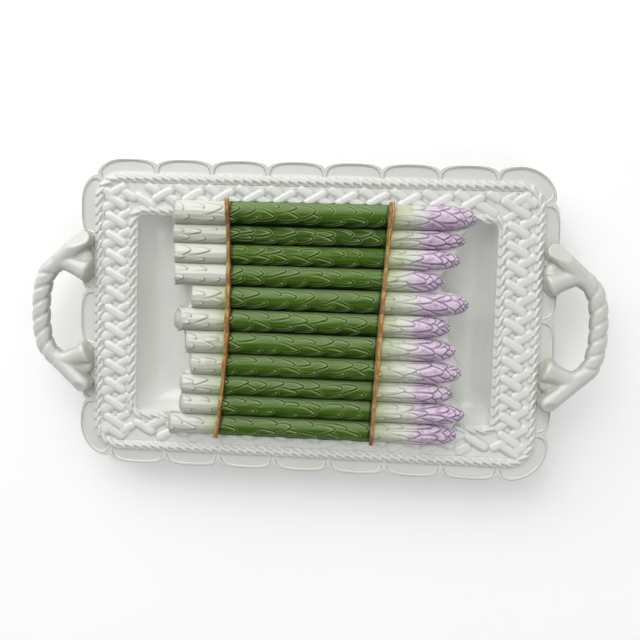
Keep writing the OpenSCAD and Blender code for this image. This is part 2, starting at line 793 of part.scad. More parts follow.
dish_body();
foot_ring();
lobed_rim();
outer_rope();
inner_rope_left();
inner_rope_right();
weave_top();
weave_bottom();
weave_left();
weave_right();
bundle_bed();
spear(0);  // spear_01
spear(1);  // spear_02
spear(2);  // spear_03
spear(3);  // spear_04
spear(4);  // spear_05
spear(5);  // spear_06
spear(6);  // spear_07
spear(7);  // spear_08
spear(8);  // spear_09
spear(9);  // spear_10
spear(10);  // spear_11
bud(0);  // bud_01
bud(1);  // bud_02
bud(2);  // bud_03
bud(3);  // bud_04
bud(4);  // bud_05
bud(5);  // bud_06
bud(6);  // bud_07
bud(7);  // bud_08
bud(8);  // bud_09
bud(9);  // bud_10
bud(10);  // bud_11
tie_left();
tie_right();
handle_left();
handle_right();
stub_left_back();
stub_left_front();
stub_right_back();
stub_right_front();
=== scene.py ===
"""Glazed asparagus plate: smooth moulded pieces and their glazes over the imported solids."""

import logging
import math
from dataclasses import dataclass, field
from enum import Enum
from typing import ClassVar

import bpy
import numpy as np
from mathutils import Matrix


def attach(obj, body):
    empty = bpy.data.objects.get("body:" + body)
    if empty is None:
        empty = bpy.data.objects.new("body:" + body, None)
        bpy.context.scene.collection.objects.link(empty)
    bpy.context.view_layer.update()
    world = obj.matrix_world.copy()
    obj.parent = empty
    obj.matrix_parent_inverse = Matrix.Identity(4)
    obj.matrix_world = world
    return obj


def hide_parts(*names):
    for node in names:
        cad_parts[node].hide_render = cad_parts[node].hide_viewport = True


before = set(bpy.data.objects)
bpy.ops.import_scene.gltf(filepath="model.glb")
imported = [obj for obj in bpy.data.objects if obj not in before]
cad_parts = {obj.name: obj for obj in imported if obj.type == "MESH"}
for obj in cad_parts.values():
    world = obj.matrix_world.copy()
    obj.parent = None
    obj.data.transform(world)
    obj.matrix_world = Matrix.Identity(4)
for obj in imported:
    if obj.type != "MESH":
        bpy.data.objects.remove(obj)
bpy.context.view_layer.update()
LOG = logging.getLogger("asparagus_plate")
MM = 0.001
Array = np.ndarray


class Turn(Enum):
    """The way a strip or strand leans, seen from above."""

    RISING = 1
    FALLING = -1


class End(Enum):
    """The two ends of the plate."""

    LEFT = -1
    RIGHT = 1


# ---------------------------------------------------------------- shared mesh work


def smooth_step(value: Array, low: float, high: float) -> Array:
    """Rise softly from 0 to 1.

    Args:
        value: Numbers to map.
        low: Where the rise starts.
        high: Where it ends.

    Returns:
        The mapped numbers.
    """
    t = np.clip((np.asarray(value, float) - low) / (high - low), 0.0, 1.0)
    return t * t * (3 - 2 * t)


def wave_noise(points: Array, scale: float, seed: int, octaves: int = 3) -> Array:
    """Sum slow waves in fixed directions into a soft, repeatable noise.

    Args:
        points: Places in millimetres, one row each.
        scale: Wavelength of the first octave in millimetres.
        seed: Seed of the waves.
        octaves: Number of octaves.

    Returns:
        One number a point, about -1 to 1.
    """
    rng = np.random.default_rng(seed)
    total = np.zeros(len(points))
    for octave in range(octaves):
        for _ in range(4):
            way = rng.normal(size=points.shape[1])
            way *= 2 * math.pi * 2 ** octave / (scale * np.linalg.norm(way))
            total += np.sin(points @ way + rng.uniform(0, 2 * math.pi)) * 0.5 ** octave / 3.4
    return total


def linked(name: str, data: bpy.types.ID) -> bpy.types.Object:
    """Put an object into the scene.

    Args:
        name: Name of the object.
        data: The mesh, curve, lamp or camera that it shows.

    Returns:
        The object, at the origin.
    """
    obj = bpy.data.objects.new(name, data)
    bpy.context.scene.collection.objects.link(obj)
    return obj


def new_object(name: str, vertices: Array, faces: Array, flip: bool = False) -> bpy.types.Object:
    """Make a smooth-shaded object from vertices in millimetres.

    Args:
        name: Name of the piece.
        vertices: One row a vertex.
        faces: One row of four vertex numbers a face.
        flip: Whether the faces are turned over.

    Returns:
        The object, at the origin, in metres.
    """
    mesh = bpy.data.meshes.new(name)
    order = faces[:, ::-1] if flip else faces
    mesh.from_pydata((np.asarray(vertices) * MM).tolist(), [], order.tolist())
    mesh.validate()
    mesh.shade_smooth()
    return linked(name, mesh)


def grid_faces(rows: int, columns: int, close_rows: bool, close_columns: bool) -> Array:
    """Number the faces of a grid of vertices.

    Args:
        rows: Number of rows.
        columns: Number of vertices in a row.
        close_rows: Whether the last row joins the first.
        close_columns: Whether each row is a loop.

    Returns:
        One row of four vertex numbers a face.
    """
    i = np.arange(rows if close_rows else rows - 1)
    j = np.arange(columns if close_columns else columns - 1)
    a, b = np.meshgrid(i, j, indexing="ij")
    a2, b2 = (a + 1) % rows, (b + 1) % columns
    quads = [a * columns + b, a * columns + b2, a2 * columns + b2, a2 * columns + b]
    return np.stack([q.ravel() for q in quads], axis=1)


def grid_object(name: str, points: Array, close_rows: bool = False, close_columns: bool = True,
                flip: bool = False) -> bpy.types.Object:
    """Make an object from a grid of points, rows first.

    Args:
        name: Name of the piece.
        points: Array of rows, columns and three coordinates, in millimetres.
        close_rows: Whether the last row joins the first.
        close_columns: Whether each row is a loop.
        flip: Whether the faces are turned over.

    Returns:
        The object.
    """
    rows, columns = points.shape[:2]
    return new_object(name, points.reshape(-1, 3),
                      grid_faces(rows, columns, close_rows, close_columns), flip)


def place_of(mesh: bpy.types.Mesh) -> Array:
    """Read a mesh's vertices.

    Args:
        mesh: The mesh.

    Returns:
        The places in millimetres, one row each.
    """
    flat = np.empty(len(mesh.vertices) * 3)
    mesh.vertices.foreach_get("co", flat)
    return flat.reshape(-1, 3) / MM


def set_place(mesh: bpy.types.Mesh, points: Array) -> None:
    """Write a mesh's vertices from millimetres."""
    mesh.vertices.foreach_set("co", (points * MM).ravel())
    mesh.update()


def averaged(mesh: bpy.types.Mesh, values: Array, rounds: int, share: float = 0.5) -> Array:
    """Average values with their neighbours along the mesh's edges.

    Args:
        mesh: The mesh whose edges join the values.
        values: One row a vertex.
        rounds: How many times to average.
        share: How far each round goes.

    Returns:
        The averaged values.
    """
    edges = np.empty(len(mesh.edges) * 2, dtype=np.int64)
    mesh.edges.foreach_get("vertices", edges)
    a, b = edges[0::2], edges[1::2]
    size = len(values)
    links = np.maximum(np.bincount(a, minlength=size) + np.bincount(b, minlength=size), 1)
    result = values.astype(float).copy()
    for _ in range(rounds):
        for k in range(result.shape[1]):
            total = (np.bincount(a, result[b, k], size) + np.bincount(b, result[a, k], size))
            result[:, k] += share * (total / links - result[:, k])
    return result


def set_attribute(mesh: bpy.types.Mesh, name: str, values: Array) -> None:
    """Store one number a vertex under a name that a glaze reads."""
    attribute = mesh.attributes.get(name) or mesh.attributes.new(name, "FLOAT", "POINT")
    attribute.data.foreach_set("value", np.asarray(values, dtype=np.float32).ravel())


def mark_hollows(obj: bpy.types.Object, rounds: int, depth: float, sides: float = 0.0,
                 top: float = 0.0) -> None:
    """Store where glaze pools with painted shade and where it breaks: above 0 in a hollow, below 0
    on an edge.

    Args:
        obj: The piece.
        rounds: How wide the comparison is.
        depth: Depth in millimetres that counts as 1.
        sides: How much painted shade lies on steep sides.
        top: How much of that reaches the level tops.
    """
    mesh = obj.data
    points = place_of(mesh)
    normals = np.empty(len(mesh.vertices) * 3)
    mesh.vertices.foreach_get("normal", normals)
    lift = ((averaged(mesh, points, rounds) - points) * normals.reshape(-1, 3)).sum(axis=1)
    soft = averaged(mesh, lift[:, None], 1)[:, 0]
    # Hollows get glaze pooling with painted shade; edges get broken glaze.
    set_attribute(mesh, "hollow", np.clip(soft / depth, -1, 1))
    # Painted shade on steep sides, and some over the level tops.
    if sides > 0:
        steep = 1 - averaged(mesh, normals.reshape(-1, 3), 2)[:, 2]
        set_attribute(mesh, "thick", sides * np.maximum(smooth_step(steep, 0, 0.7), top))


def beside(way: Array) -> tuple[Array, Array]:
    """Find the level and the upward direction square to a way.

    Args:
        way: One direction, or one a row.

    Returns:
        Unit directions outwards and upwards.
    """
    out = np.cross(way, [0, 0, 1.0])
    out /= np.linalg.norm(out, axis=-1, keepdims=True)
    return out, np.cross(out, way)


def baked(obj: bpy.types.Object) -> bpy.types.Object:
    """Turn an object with modifiers, or a curve, into a plain mesh object of the same name.

    Args:
        obj: The object, which is removed.

    Returns:
        The plain object.
    """
    name = obj.name
    evaluated = obj.evaluated_get(bpy.context.evaluated_depsgraph_get())
    mesh = bpy.data.meshes.new_from_object(evaluated)
    bpy.data.objects.remove(obj)
    mesh.name = name
    return linked(name, mesh)


def softened(obj: bpy.types.Object, voxel: float, rounds: int) -> bpy.types.Object:
    """Melt overlapping shapes into one skin, as glaze does, and relax it.

    Args:
        obj: The piece, made of closed shapes that may overlap.
        voxel: Fineness in millimetres.
        rounds: How many rounds of averaging the skin gets.

    Returns:
        The new object.
    """
    remesh = obj.modifiers.new("Melt", "REMESH")
    remesh.mode = "VOXEL"
    remesh.voxel_size = voxel * MM
    result = baked(obj)
    set_place(result.data, averaged(result.data, place_of(result.data), rounds))
    result.data.shade_smooth()
    return result


# ---------------------------------------------------------------- paths on the border


@dataclass
class Loop:
    """A rounded rectangle, walked clockwise from the middle of its left back corner."""

    length: float
    width: float
    radius: float
    corners: ClassVar[tuple[tuple[int, int, int], ...]] = ((-1, 1, 180), (1, 1, 90),
                                                           (1, -1, 0), (-1, -1, -90))
    arc_steps: ClassVar[int] = 12
    run_steps: ClassVar[tuple[int, int]] = (44, 28)

    @property
    def whole(self) -> float:
        """Length of the loop."""
        return 2 * (self.length + self.width) - 8 * self.radius + 2 * math.pi * self.radius

    def at(self, distances: Array) -> tuple[Array, Array]:
        """Find points and outward directions at distances along the loop.

        Args:
            distances: Distances from the start, in millimetres.

        Returns:
            Points and unit outward directions, one row each.
        """
        r = self.radius
        arc, back, side = math.pi * r / 2, self.length - 2 * r, self.width - 2 * r
        runs = [back, side, back, side]
        t = (np.asarray(distances, float) + arc / 2) % self.whole
        points = np.zeros((len(t), 2))
        out = np.zeros((len(t), 2))
        start = 0.0
        for (qx, qy, turn), run in zip(self.corners, runs):
            cx, cy = qx * (self.length / 2 - r), qy * (self.width / 2 - r)
            on_arc = (t >= start) & (t < start + arc)
            a = np.radians(turn - 90 * (t[on_arc] - start) / arc)
            out[on_arc] = np.stack([np.cos(a), np.sin(a)], axis=1)
            points[on_arc] = [cx, cy] + r * out[on_arc]
            on_run = (t >= start + arc) & (t <= start + arc + run)
            a = math.radians(turn - 90)
            way = np.array([math.sin(a), -math.cos(a)])
            out[on_run] = [math.cos(a), math.sin(a)]
            points[on_run] = (np.array([cx, cy]) + r * out[on_run]
                              + (t[on_run] - start - arc)[:, None] * way)
            start += arc + run
        return points, out

    def ring(self, height: float) -> Array:
        """Give a fixed number of points round the loop, so that rings of any size join.

        Args:
            height: Height of the ring.

        Returns:
            The ring's points, one row each.
        """
        r = max(self.radius, 0.01)
        points = []
        for k, (qx, qy, turn) in enumerate(self.corners):
            cx, cy = qx * (self.length / 2 - r), qy * (self.width / 2 - r)
            for step in range(self.arc_steps + 1):
                a = math.radians(turn - 90 * step / self.arc_steps)
                points.append([cx + r * math.cos(a), cy + r * math.sin(a), height])
            nx, ny, next_turn = self.corners[(k + 1) % 4]
            a = math.radians(next_turn)
            ex = nx * (self.length / 2 - r) + r * math.cos(a)
            ey = ny * (self.width / 2 - r) + r * math.sin(a)
            sx, sy, _ = points[-1]
            count = self.run_steps[k % 2]
            for step in range(1, count):
                u = step / count
                points.append([sx + (ex - sx) * u, sy + (ey - sy) * u, height])
        return np.array(points)


# ---------------------------------------------------------------- sizes shared by the pieces


@dataclass(frozen=True)
class Sizes:
    """Sizes in millimetres that several pieces share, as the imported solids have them."""

    border: tuple[float, float, float] = (312.0, 196.0, 18.0)
    border_h: float = 28.0
    border_t: float = 5.0
    well: tuple[float, float, float] = (251.0, 139.0, 7.0)
    cove_run: float = 17.0
    wall: float = 5.0
    floor: float = 8.0
    hollow: tuple[float, float, float] = (150.0, 88.0, 14.0)
    foot_h: float = 3.0
    outer_rope: tuple[float, float, float] = (306.0, 190.0, 15.0)
    inner_rope: tuple[float, float, float] = (257.5, 145.5, 7.0)


SIZES = Sizes()


@dataclass(frozen=True)
class Bundle:
    """The rule that places the eleven spears, their buds and the ties."""

    length: float = 210.6
    width: float = 165.6
    shift_l: float = 4.7
    shift_w: float = 1.8
    edge_shares: tuple[float, ...] = (0.5, 0.395, 0.317, 0.2325, 0.1425, 0.0465,
                                      -0.0475, -0.142, -0.235, -0.319, -0.408, -0.5)
    butt_shares: tuple[float, ...] = (0.02, 0.007, 0.012, 0.014, 0.072, 0.045,
                                      0.054, 0.071, 0.045, 0.048, 0.0)
    tip_shares: tuple[float, ...] = (0.0, 0.033, 0.048, 0.097, 0.016, 0.071,
                                     0.051, 0.029, 0.052, 0.013, 0.036)
    bed_edge: float = 2.4
    bed_crown: float = 7.6
    bud_length: float = 38.0
    crest_share: float = 0.46
    tie_shares: tuple[float, float] = (0.2991, 0.2293)
    tie_leans: tuple[float, float] = (1.6, 3.0)
    tie_bows: tuple[float, float] = (5.5, 0.5)

    @property
    def count(self) -> int:
        """Number of spears."""
        return len(self.butt_shares)

    def edges(self, i: int) -> tuple[float, float]:
        """Front and back edge of a spear."""
        return (self.width * self.edge_shares[i + 1] - self.shift_w,
                self.width * self.edge_shares[i] - self.shift_w)

    def spear_w(self, i: int) -> float:
        """Width of a spear."""
        low, high = self.edges(i)
        return high - low

    def spear_y(self, i: int) -> float:
        """Middle of a spear."""
        return sum(self.edges(i)) / 2

    def butt_x(self, i: int) -> float:
        """Left end of a spear."""
        return self.shift_l - self.length / 2 + self.length * self.butt_shares[i]

    def tip_x(self, i: int) -> float:
        """Right end of a bud."""
        return self.shift_l + self.length / 2 - self.length * self.tip_shares[i]

    def bud_x(self, i: int) -> float:
        """Where a bud starts."""
        return self.tip_x(i) - self.bud_length

    def land(self, i: int) -> float:
        """Height of the bed under a spear."""
        middle = (self.count - 1) / 2
        return (SIZES.border_h + self.bed_edge
                + (self.bed_crown - self.bed_edge) * (1 - ((i - middle) / middle) ** 2))

    def crest(self, i: int) -> float:
        """Height of a spear over its bed."""
        return self.spear_w(i) * self.crest_share

    def valley(self, i: int, j: int) -> float:
        """Height of the crease between two spears, or of the border beside the outermost."""
        if not 0 <= j < self.count:
            return SIZES.border_h + 0.3
        return (self.land(i) + self.land(j)) / 2 + 0.16 * min(self.crest(i), self.crest(j))

    def arch(self, i: int, share: Array, size: Array | float = 1.0) -> Array:
        """Height of a spear's round back.

        Args:
            i: Number of the spear.
            share: Places across, from -1 at the front edge to 1 at the back edge.
            size: How large the section is, as a share of the full stalk.

        Returns:
            The height at each place.
        """
        v = np.clip(np.abs(share), 0, 1)
        shape = 0.74 * (1 - v ** 2.3) ** 0.78 + 0.26 * (1 + np.cos(math.pi * v)) / 2
        foot = np.where(np.asarray(share) > 0, self.valley(i, i - 1), self.valley(i, i + 1))
        foot = self.land(i) + (foot - self.land(i)) * np.asarray(size) ** 2
        top = self.land(i) + self.crest(i) * size
        return foot + (top - foot) * shape

    def tie_x(self, end: End, y: Array) -> Array:
        """Course of a tie, seen from above.

        Args:
            end: Which tie.
            y: Places across the bundle.

        Returns:
            The tie's middle at each place.
        """
        k = 0 if end is End.LEFT else 1
        bend = self.tie_bows[k] * (1 - (2 * (y + self.shift_w) / self.width) ** 2)
        slope = y * math.tan(math.radians(self.tie_leans[k]))
        return end.value * (self.tie_shares[k] * self.length - bend) + slope


BUNDLE = Bundle()


# ---------------------------------------------------------------- finishes


class Nodes:
    """A short way to lay out and join the nodes of one tree."""

    def __init__(self, tree: bpy.types.NodeTree) -> None:
        """Keep the tree to fill."""
        self.tree = tree

    def add(self, kind: str, inputs: dict[str | int, object] | None = None,
            **settings: object) -> bpy.types.Node:
        """Add a node.

        Args:
            kind: The node's class.
            inputs: Sockets and values for its inputs, by name or number.
            **settings: Properties to set on it.

        Returns:
            The node.
        """
        node = self.tree.nodes.new(kind)
        for key, value in settings.items():
            setattr(node, key, value)
        self.fill(node, inputs or {})
        return node

    def join(self, source: bpy.types.NodeSocket, target: bpy.types.NodeSocket) -> None:
        """Link two sockets."""
        self.tree.links.new(source, target)

    def fill(self, node: bpy.types.Node, inputs: dict[str | int, object]) -> None:
        """Link sockets to a node's inputs, or set plain values on them.

        Args:
            node: The node.
            inputs: Sockets and values for its inputs, by name or number.
        """
        for key, value in inputs.items():
            if isinstance(value, bpy.types.NodeSocket):
                self.join(value, node.inputs[key])
            else:
                node.inputs[key].default_value = value

    def math(self, operation: str, a: object, b: object = 0.0, clamp: bool = False
             ) -> bpy.types.NodeSocket:
        """Add a sum of two numbers or sockets, kept between 0 and 1 if clamp is set."""
        return self.add("ShaderNodeMath", {0: a, 1: b}, operation=operation,
                        use_clamp=clamp).outputs[0]

    def ramp(self, value: object, low: float, high: float) -> bpy.types.NodeSocket:
        """Map a number or socket softly, so that low becomes 0 and high becomes 1."""
        return self.add("ShaderNodeMapRange", {"Value": value, "From Min": low, "From Max": high},
                        interpolation_type="SMOOTHSTEP").outputs["Result"]

    def mix(self, share: object, a: object, b: object) -> bpy.types.NodeSocket:
        """Mix two colours or sockets; the share says how much of the second."""
        a, b = (c if isinstance(c, bpy.types.NodeSocket) else (*c, 1.0) for c in (a, b))
        return self.add("ShaderNodeMix", {0: share, 6: a, 7: b}, data_type="RGBA").outputs[2]

    def noise(self, place: bpy.types.NodeSocket, scale: float, detail: float = 3.0
              ) -> bpy.types.NodeSocket:
        """Add a noise over a place, with patches of a size in millimetres."""
        return self.add("ShaderNodeTexNoise", {"Vector": place, "Scale": 1 / (scale * MM),
                                               "Detail": detail}).outputs["Fac"]

    def attribute(self, name: str) -> bpy.types.NodeSocket:
        """Read a number stored on the vertices."""
        return self.add("ShaderNodeAttribute", attribute_name=name).outputs["Fac"]


Colour = tuple[float, float, float]


@dataclass(frozen=True)
class Glaze:
    """A glossy lead glaze over white clay: colour, pools with painted shade, painted shade on
    steep sides, broken edges, specks and ripple.
    """

    name: str
    body: Colour
    # Colour of the pools, with painted shade, in hollows.
    pool_and_shade: Colour
    edge: Colour
    slot: str
    speck_share: float = 0.5
    speck: Colour = (0.12, 0.11, 0.08)
    speck_pitch: float = 9.0
    speck_size: float = 0.045
    cloud: Colour = (0.70, 0.72, 0.66)
    cloud_scale: float = 34.0
    cloud_share: float = 0.55
    edge_share: float = 0.8
    # Colour of the painted shade on steep sides.
    thick: Colour = (0.36, 0.37, 0.30)
    wear: float = 0.12
    ripple: float = 0.25
    roughness: float = 0.16
    coat: float = 0.5
    specular: float = 0.5
    pool_and_shade_reach: tuple[float, float] = (0.04, 0.9)
    edge_reach: tuple[float, float] = (0.1, 0.9)

    def colour(self, n: Nodes, place: bpy.types.NodeSocket) -> bpy.types.NodeSocket:
        """Lay out the colour: clouds, then painted shade on steep sides, then broken edges, then
        pools with painted shade.

        Args:
            n: The material's nodes.
            place: The object's own coordinates.

        Returns:
            The colour's socket.
        """
        hollow = n.attribute("hollow")
        clouds = n.ramp(n.noise(place, self.cloud_scale, 4), 0.42, 0.72)
        colour = n.mix(n.math("MULTIPLY", clouds, self.cloud_share), self.body, self.cloud)
        # Painted shade on steep sides.
        colour = n.mix(n.attribute("thick"), colour, self.thick)
        edges = n.ramp(n.math("MULTIPLY", hollow, -1.0), *self.edge_reach)
        colour = n.mix(n.math("MULTIPLY", edges, self.edge_share), colour, self.edge)
        # Hollows: glaze pooling deepened with painted shade.
        return n.mix(n.ramp(hollow, *self.pool_and_shade_reach), colour, self.pool_and_shade)

    def build(self) -> bpy.types.Material:
        """Make the material.

        Returns:
            The material.
        """
        material = bpy.data.materials.new(self.name)
        material.use_nodes = True
        n = Nodes(material.node_tree)
        shader = material.node_tree.nodes["Principled BSDF"]
        place = n.add("ShaderNodeTexCoord").outputs["Object"]
        colour = self.colour(n, place)
        specks = n.add("ShaderNodeTexVoronoi",
                       {"Vector": place, "Scale": 1 / (self.speck_pitch * MM)})
        sizes = n.math("MULTIPLY", n.ramp(n.noise(place, 5, 2), 0.56, 0.74), self.speck_size)
        dots = n.math("LESS_THAN", specks.outputs["Distance"], sizes)
        colour = n.mix(n.math("MULTIPLY", dots, self.speck_share), colour, self.speck)
        wear = n.ramp(n.noise(place, 14, 5), 0.3, 0.8)
        roughness = n.math("ADD", n.math("MULTIPLY", wear, self.wear), self.roughness)
        fine = n.math("MULTIPLY", n.noise(place, 1.6, 3), 0.3)
        bump = n.add("ShaderNodeBump", {"Strength": 0.35, "Distance": self.ripple * MM,
                                        "Height": n.math("ADD", n.noise(place, 7, 2), fine)})
        n.fill(shader, {"Base Color": colour, "Roughness": roughness, "IOR": 1.5,
                        "Specular IOR Level": self.specular, "Coat Weight": self.coat,
                        "Coat Roughness": 0.16, "Coat IOR": 1.55, "Normal": bump.outputs[0]})
        return material


@dataclass(frozen=True)
class SpearGlaze(Glaze):
    """The stalks' glaze: green between the ties, running out to white at the butts, with a painted
    sheen on each ridge's back half and painted shade on its front half.
    """

    white: Colour = (0.72, 0.74, 0.66)
    bleed: Colour = (0.40, 0.47, 0.22)
    # Painted sheen on the back half of each ridge.
    painted_sheen: Colour = (0.235, 0.325, 0.14)
    lilac: Colour = (0.76, 0.60, 0.74)
    # Dark lines between the scales; also the painted shade in the bud's creases and front half.
    line: Colour = (0.10, 0.03, 0.13)
    dusk: Colour = (0.42, 0.25, 0.46)
    lilac_edge: Colour = (0.88, 0.80, 0.88)
    # Painted shade on the white part's front halves and in its creases.
    white_painted_shade: Colour = (0.26, 0.27, 0.18)
    white_groove: Colour = (0.22, 0.23, 0.15)
    white_edge: Colour = (0.86, 0.87, 0.82)

    @staticmethod
    def layered(n: Nodes, base: object, *layers: tuple[object, float, Colour]
                ) -> bpy.types.NodeSocket:
        """Lay colours over each other.

        Args:
            n: The material's nodes.
            base: The lowest colour or its socket.
            *layers: Mask, strength and colour of each layer over it.

        Returns:
            The colour's socket.
        """
        for mask, strength, colour in layers:
            base = n.mix(n.math("MULTIPLY", mask, strength), base, colour)
        return base

    def colour(self, n: Nodes, place: bpy.types.NodeSocket) -> bpy.types.NodeSocket:
        """Lay out the colour from the masks stored on the stalk, with painted sheen and painted
        shade.

        Args:
            n: The material's nodes.
            place: The object's own coordinates.

        Returns:
            The colour's socket.
        """
        hollow, groove, edge = (n.attribute(a) for a in ("hollow", "groove", "edge"))
        green, tint, lilac, back = (n.attribute(a) for a in ("green", "tint", "lilac", "back"))
        valley = n.attribute("valley")
        streaks = n.add("ShaderNodeMapping", {"Vector": place, "Scale": (0.25, 1.0, 1.0)})
        mottle = n.ramp(n.noise(streaks.outputs["Vector"], 5, 4), 0.3, 0.7)
        patches = n.ramp(n.noise(place, 4.5, 3), 0.44, 0.64)
        # Green part: painted sheen on each ridge's back half, painted shade on its front half and
        # in the creases, pale edges, dark grooves, and pools with painted shade.
        leaf = self.layered(n, n.mix(mottle, self.body, self.cloud), (back, 0.7, self.painted_sheen),
                            (valley, 1.0, self.pool_and_shade), (edge, 0.9, self.edge),
                            (groove, 0.84, self.pool_and_shade),
                            (n.ramp(hollow, 0.15, 1.0), 0.4, self.pool_and_shade))
        # Pale part: painted shade on front halves and in creases, broken edges, grooves and the
        # green bleed.
        pale = self.layered(n, self.white, (valley, 0.72, self.white_painted_shade),
                            (edge, 0.5, self.white_edge), (groove, 0.6, self.white_groove),
                            (tint, 0.8, self.bleed))
        # Bud: random darker patches, painted shade in creases and front halves, pale edges and
        # dark lines.
        violet = self.layered(n, self.lilac, (patches, 0.75, self.dusk), (valley, 0.5, self.line),
                              (edge, 0.7, self.lilac_edge), (groove, 0.86, self.line))
        pale = n.mix(lilac, pale, violet)
        return n.mix(green, pale, leaf)


@dataclass(frozen=True)
class RaffiaGlaze(Glaze):
    """The ties' ochre glaze with brown in the grooves between its fibres, and painted shade on one
    side and in the grooves.
    """

    burnt: Colour = (0.20, 0.055, 0.006)

    def colour(self, n: Nodes, place: bpy.types.NodeSocket) -> bpy.types.NodeSocket:
        """Lay out streaks along the tie, painted shade on its one side, burnt brown, and brown
        pools with painted shade.

        Args:
            n: The material's nodes.
            place: The object's own coordinates.

        Returns:
            The colour's socket.
        """
        streaks = n.add("ShaderNodeMapping", {"Vector": place, "Scale": (1.0, 0.16, 1.0)})
        grain = n.ramp(n.noise(streaks.outputs["Vector"], 1.2, 4), 0.35, 0.68)
        colour = n.mix(grain, self.body, self.cloud)
        # Painted shade on the tie's one side.
        colour = n.mix(n.math("MULTIPLY", n.attribute("shade"), 0.7), colour, self.pool_and_shade)
        colour = n.mix(n.math("MULTIPLY", n.attribute("burnt"), 0.8), colour, self.burnt)
        return n.mix(n.ramp(n.attribute("hollow"), *self.pool_and_shade_reach), colour, self.pool_and_shade)


WHITE = Glaze("white_glaze", body=(0.80, 0.81, 0.77), pool_and_shade=(0.27, 0.28, 0.22),
              edge=(0.88, 0.88, 0.86), slot="white_glaze", cloud=(0.74, 0.76, 0.71))
FOOT = Glaze("foot_glaze", body=(0.66, 0.62, 0.52), pool_and_shade=(0.30, 0.27, 0.20),
             edge=(0.72, 0.68, 0.58), slot="foot_glaze", cloud=(0.58, 0.53, 0.43),
             roughness=0.42)
STALK = SpearGlaze("green_glaze", body=(0.036, 0.096, 0.001), pool_and_shade=(0.002, 0.010, 0.0003),
                   edge=(0.34, 0.47, 0.17), slot="green_glaze", cloud=(0.064, 0.140, 0.003),
                   speck_share=0.0, roughness=0.28, coat=0.04, specular=0.12)
BUD = SpearGlaze("lilac_glaze", body=(0.036, 0.100, 0.001), pool_and_shade=(0.07, 0.02, 0.09),
                 edge=(0.26, 0.40, 0.13), slot="lilac_glaze", cloud=(0.060, 0.140, 0.004),
                 speck_share=0.0, roughness=0.28, coat=0.2, specular=0.3)
TIE = RaffiaGlaze("ochre_glaze", body=(0.34, 0.14, 0.02), pool_and_shade=(0.09, 0.028, 0.003),
                  edge=(0.60, 0.36, 0.13), slot="ochre_glaze", cloud=(0.58, 0.36, 0.12),
                  speck_share=0.0, roughness=0.3, coat=0.15, specular=0.3)


class Glazes:
    """Makes each glaze once, and dresses pieces with it."""

    def __init__(self) -> None:
        """Start with no material made."""
        self.made: dict[str, bpy.types.Material] = {}

    def material(self, glaze: Glaze) -> bpy.types.Material:
        """Give a glaze's material, made when it is first asked for.

        Args:
            glaze: The glaze.

        Returns:
            The material.
        """
        if glaze.name not in self.made:
            self.made[glaze.name] = glaze.build()
        return self.made[glaze.name]

    def dress(self, obj: bpy.types.Object, glaze: Glaze, *nodes: str) -> bpy.types.Object:
        """Give a piece its glaze and body, and hide the solids that it stands for.

        Args:
            obj: The piece.
            glaze: Its finish.
            *nodes: The solids that it replaces.

        Returns:
            The piece.
        """
        obj.data.materials.clear()
        obj.data.materials.append(self.material(glaze))
        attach(obj, "root")
        if nodes:
            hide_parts(*nodes)
        LOG.info("%s: %d faces", obj.name, len(obj.data.polygons))
        return obj


GLAZES = Glazes()


# ---------------------------------------------------------------- trees that repeat a shape


class RepeatTree:
    """A geometry tree with named inputs, made once and used by a modifier on each piece."""

    name = "Repeat"
    inputs: ClassVar[dict[str, str]] = {}

    def __init__(self) -> None:
        """Make the tree: geometry in and out, the named inputs, and what it does."""
        self.tree = bpy.data.node_groups.new(self.name, "GeometryNodeTree")
        self.nodes = Nodes(self.tree)
        sockets = self.tree.interface
        for way in ("INPUT", "OUTPUT"):
            sockets.new_socket("Geometry", in_out=way, socket_type="NodeSocketGeometry")
        self.keys: dict[str, str] = {}
        for name, kind in (self.inputs | {"Material": "Material"}).items():
            socket = sockets.new_socket(name, in_out="INPUT", socket_type=f"NodeSocket{kind}")
            self.keys[name] = socket.identifier
        self.source = self.nodes.add("NodeGroupInput")
        self.lay_out()

    def given(self, name: str) -> bpy.types.NodeSocket:
        """Find the socket that gives a named input."""
        return self.source.outputs[name]

    def close(self, geometry: bpy.types.NodeSocket) -> None:
        """End the tree in real geometry with its material.

        Args:
            geometry: What the tree has made.
        """
        n = self.nodes
        real = n.add("GeometryNodeRealizeInstances", {0: geometry})
        paint = n.add("GeometryNodeSetMaterial",
                      {"Geometry": real.outputs[0], "Material": self.given("Material")})
        n.add("NodeGroupOutput", {0: paint.outputs[0]})

    def lay_out(self) -> None:
        """Fill the tree; each kind of tree does this its own way."""
        raise NotImplementedError

    def run(self, obj: bpy.types.Object, **values: object) -> bpy.types.Object:
        """Run the tree on an object and keep the result as a plain mesh.

        Args:
            obj: What the tree works on.
            **values: Values of the named inputs, with _ for a space.

        Returns:
            The plain mesh object.
        """
        modifier = obj.modifiers.new(self.name, "NODES")
        modifier.node_group = self.tree
        for key, value in values.items():
            modifier[self.keys[key.replace("_", " ")]] = value
        return baked(obj)


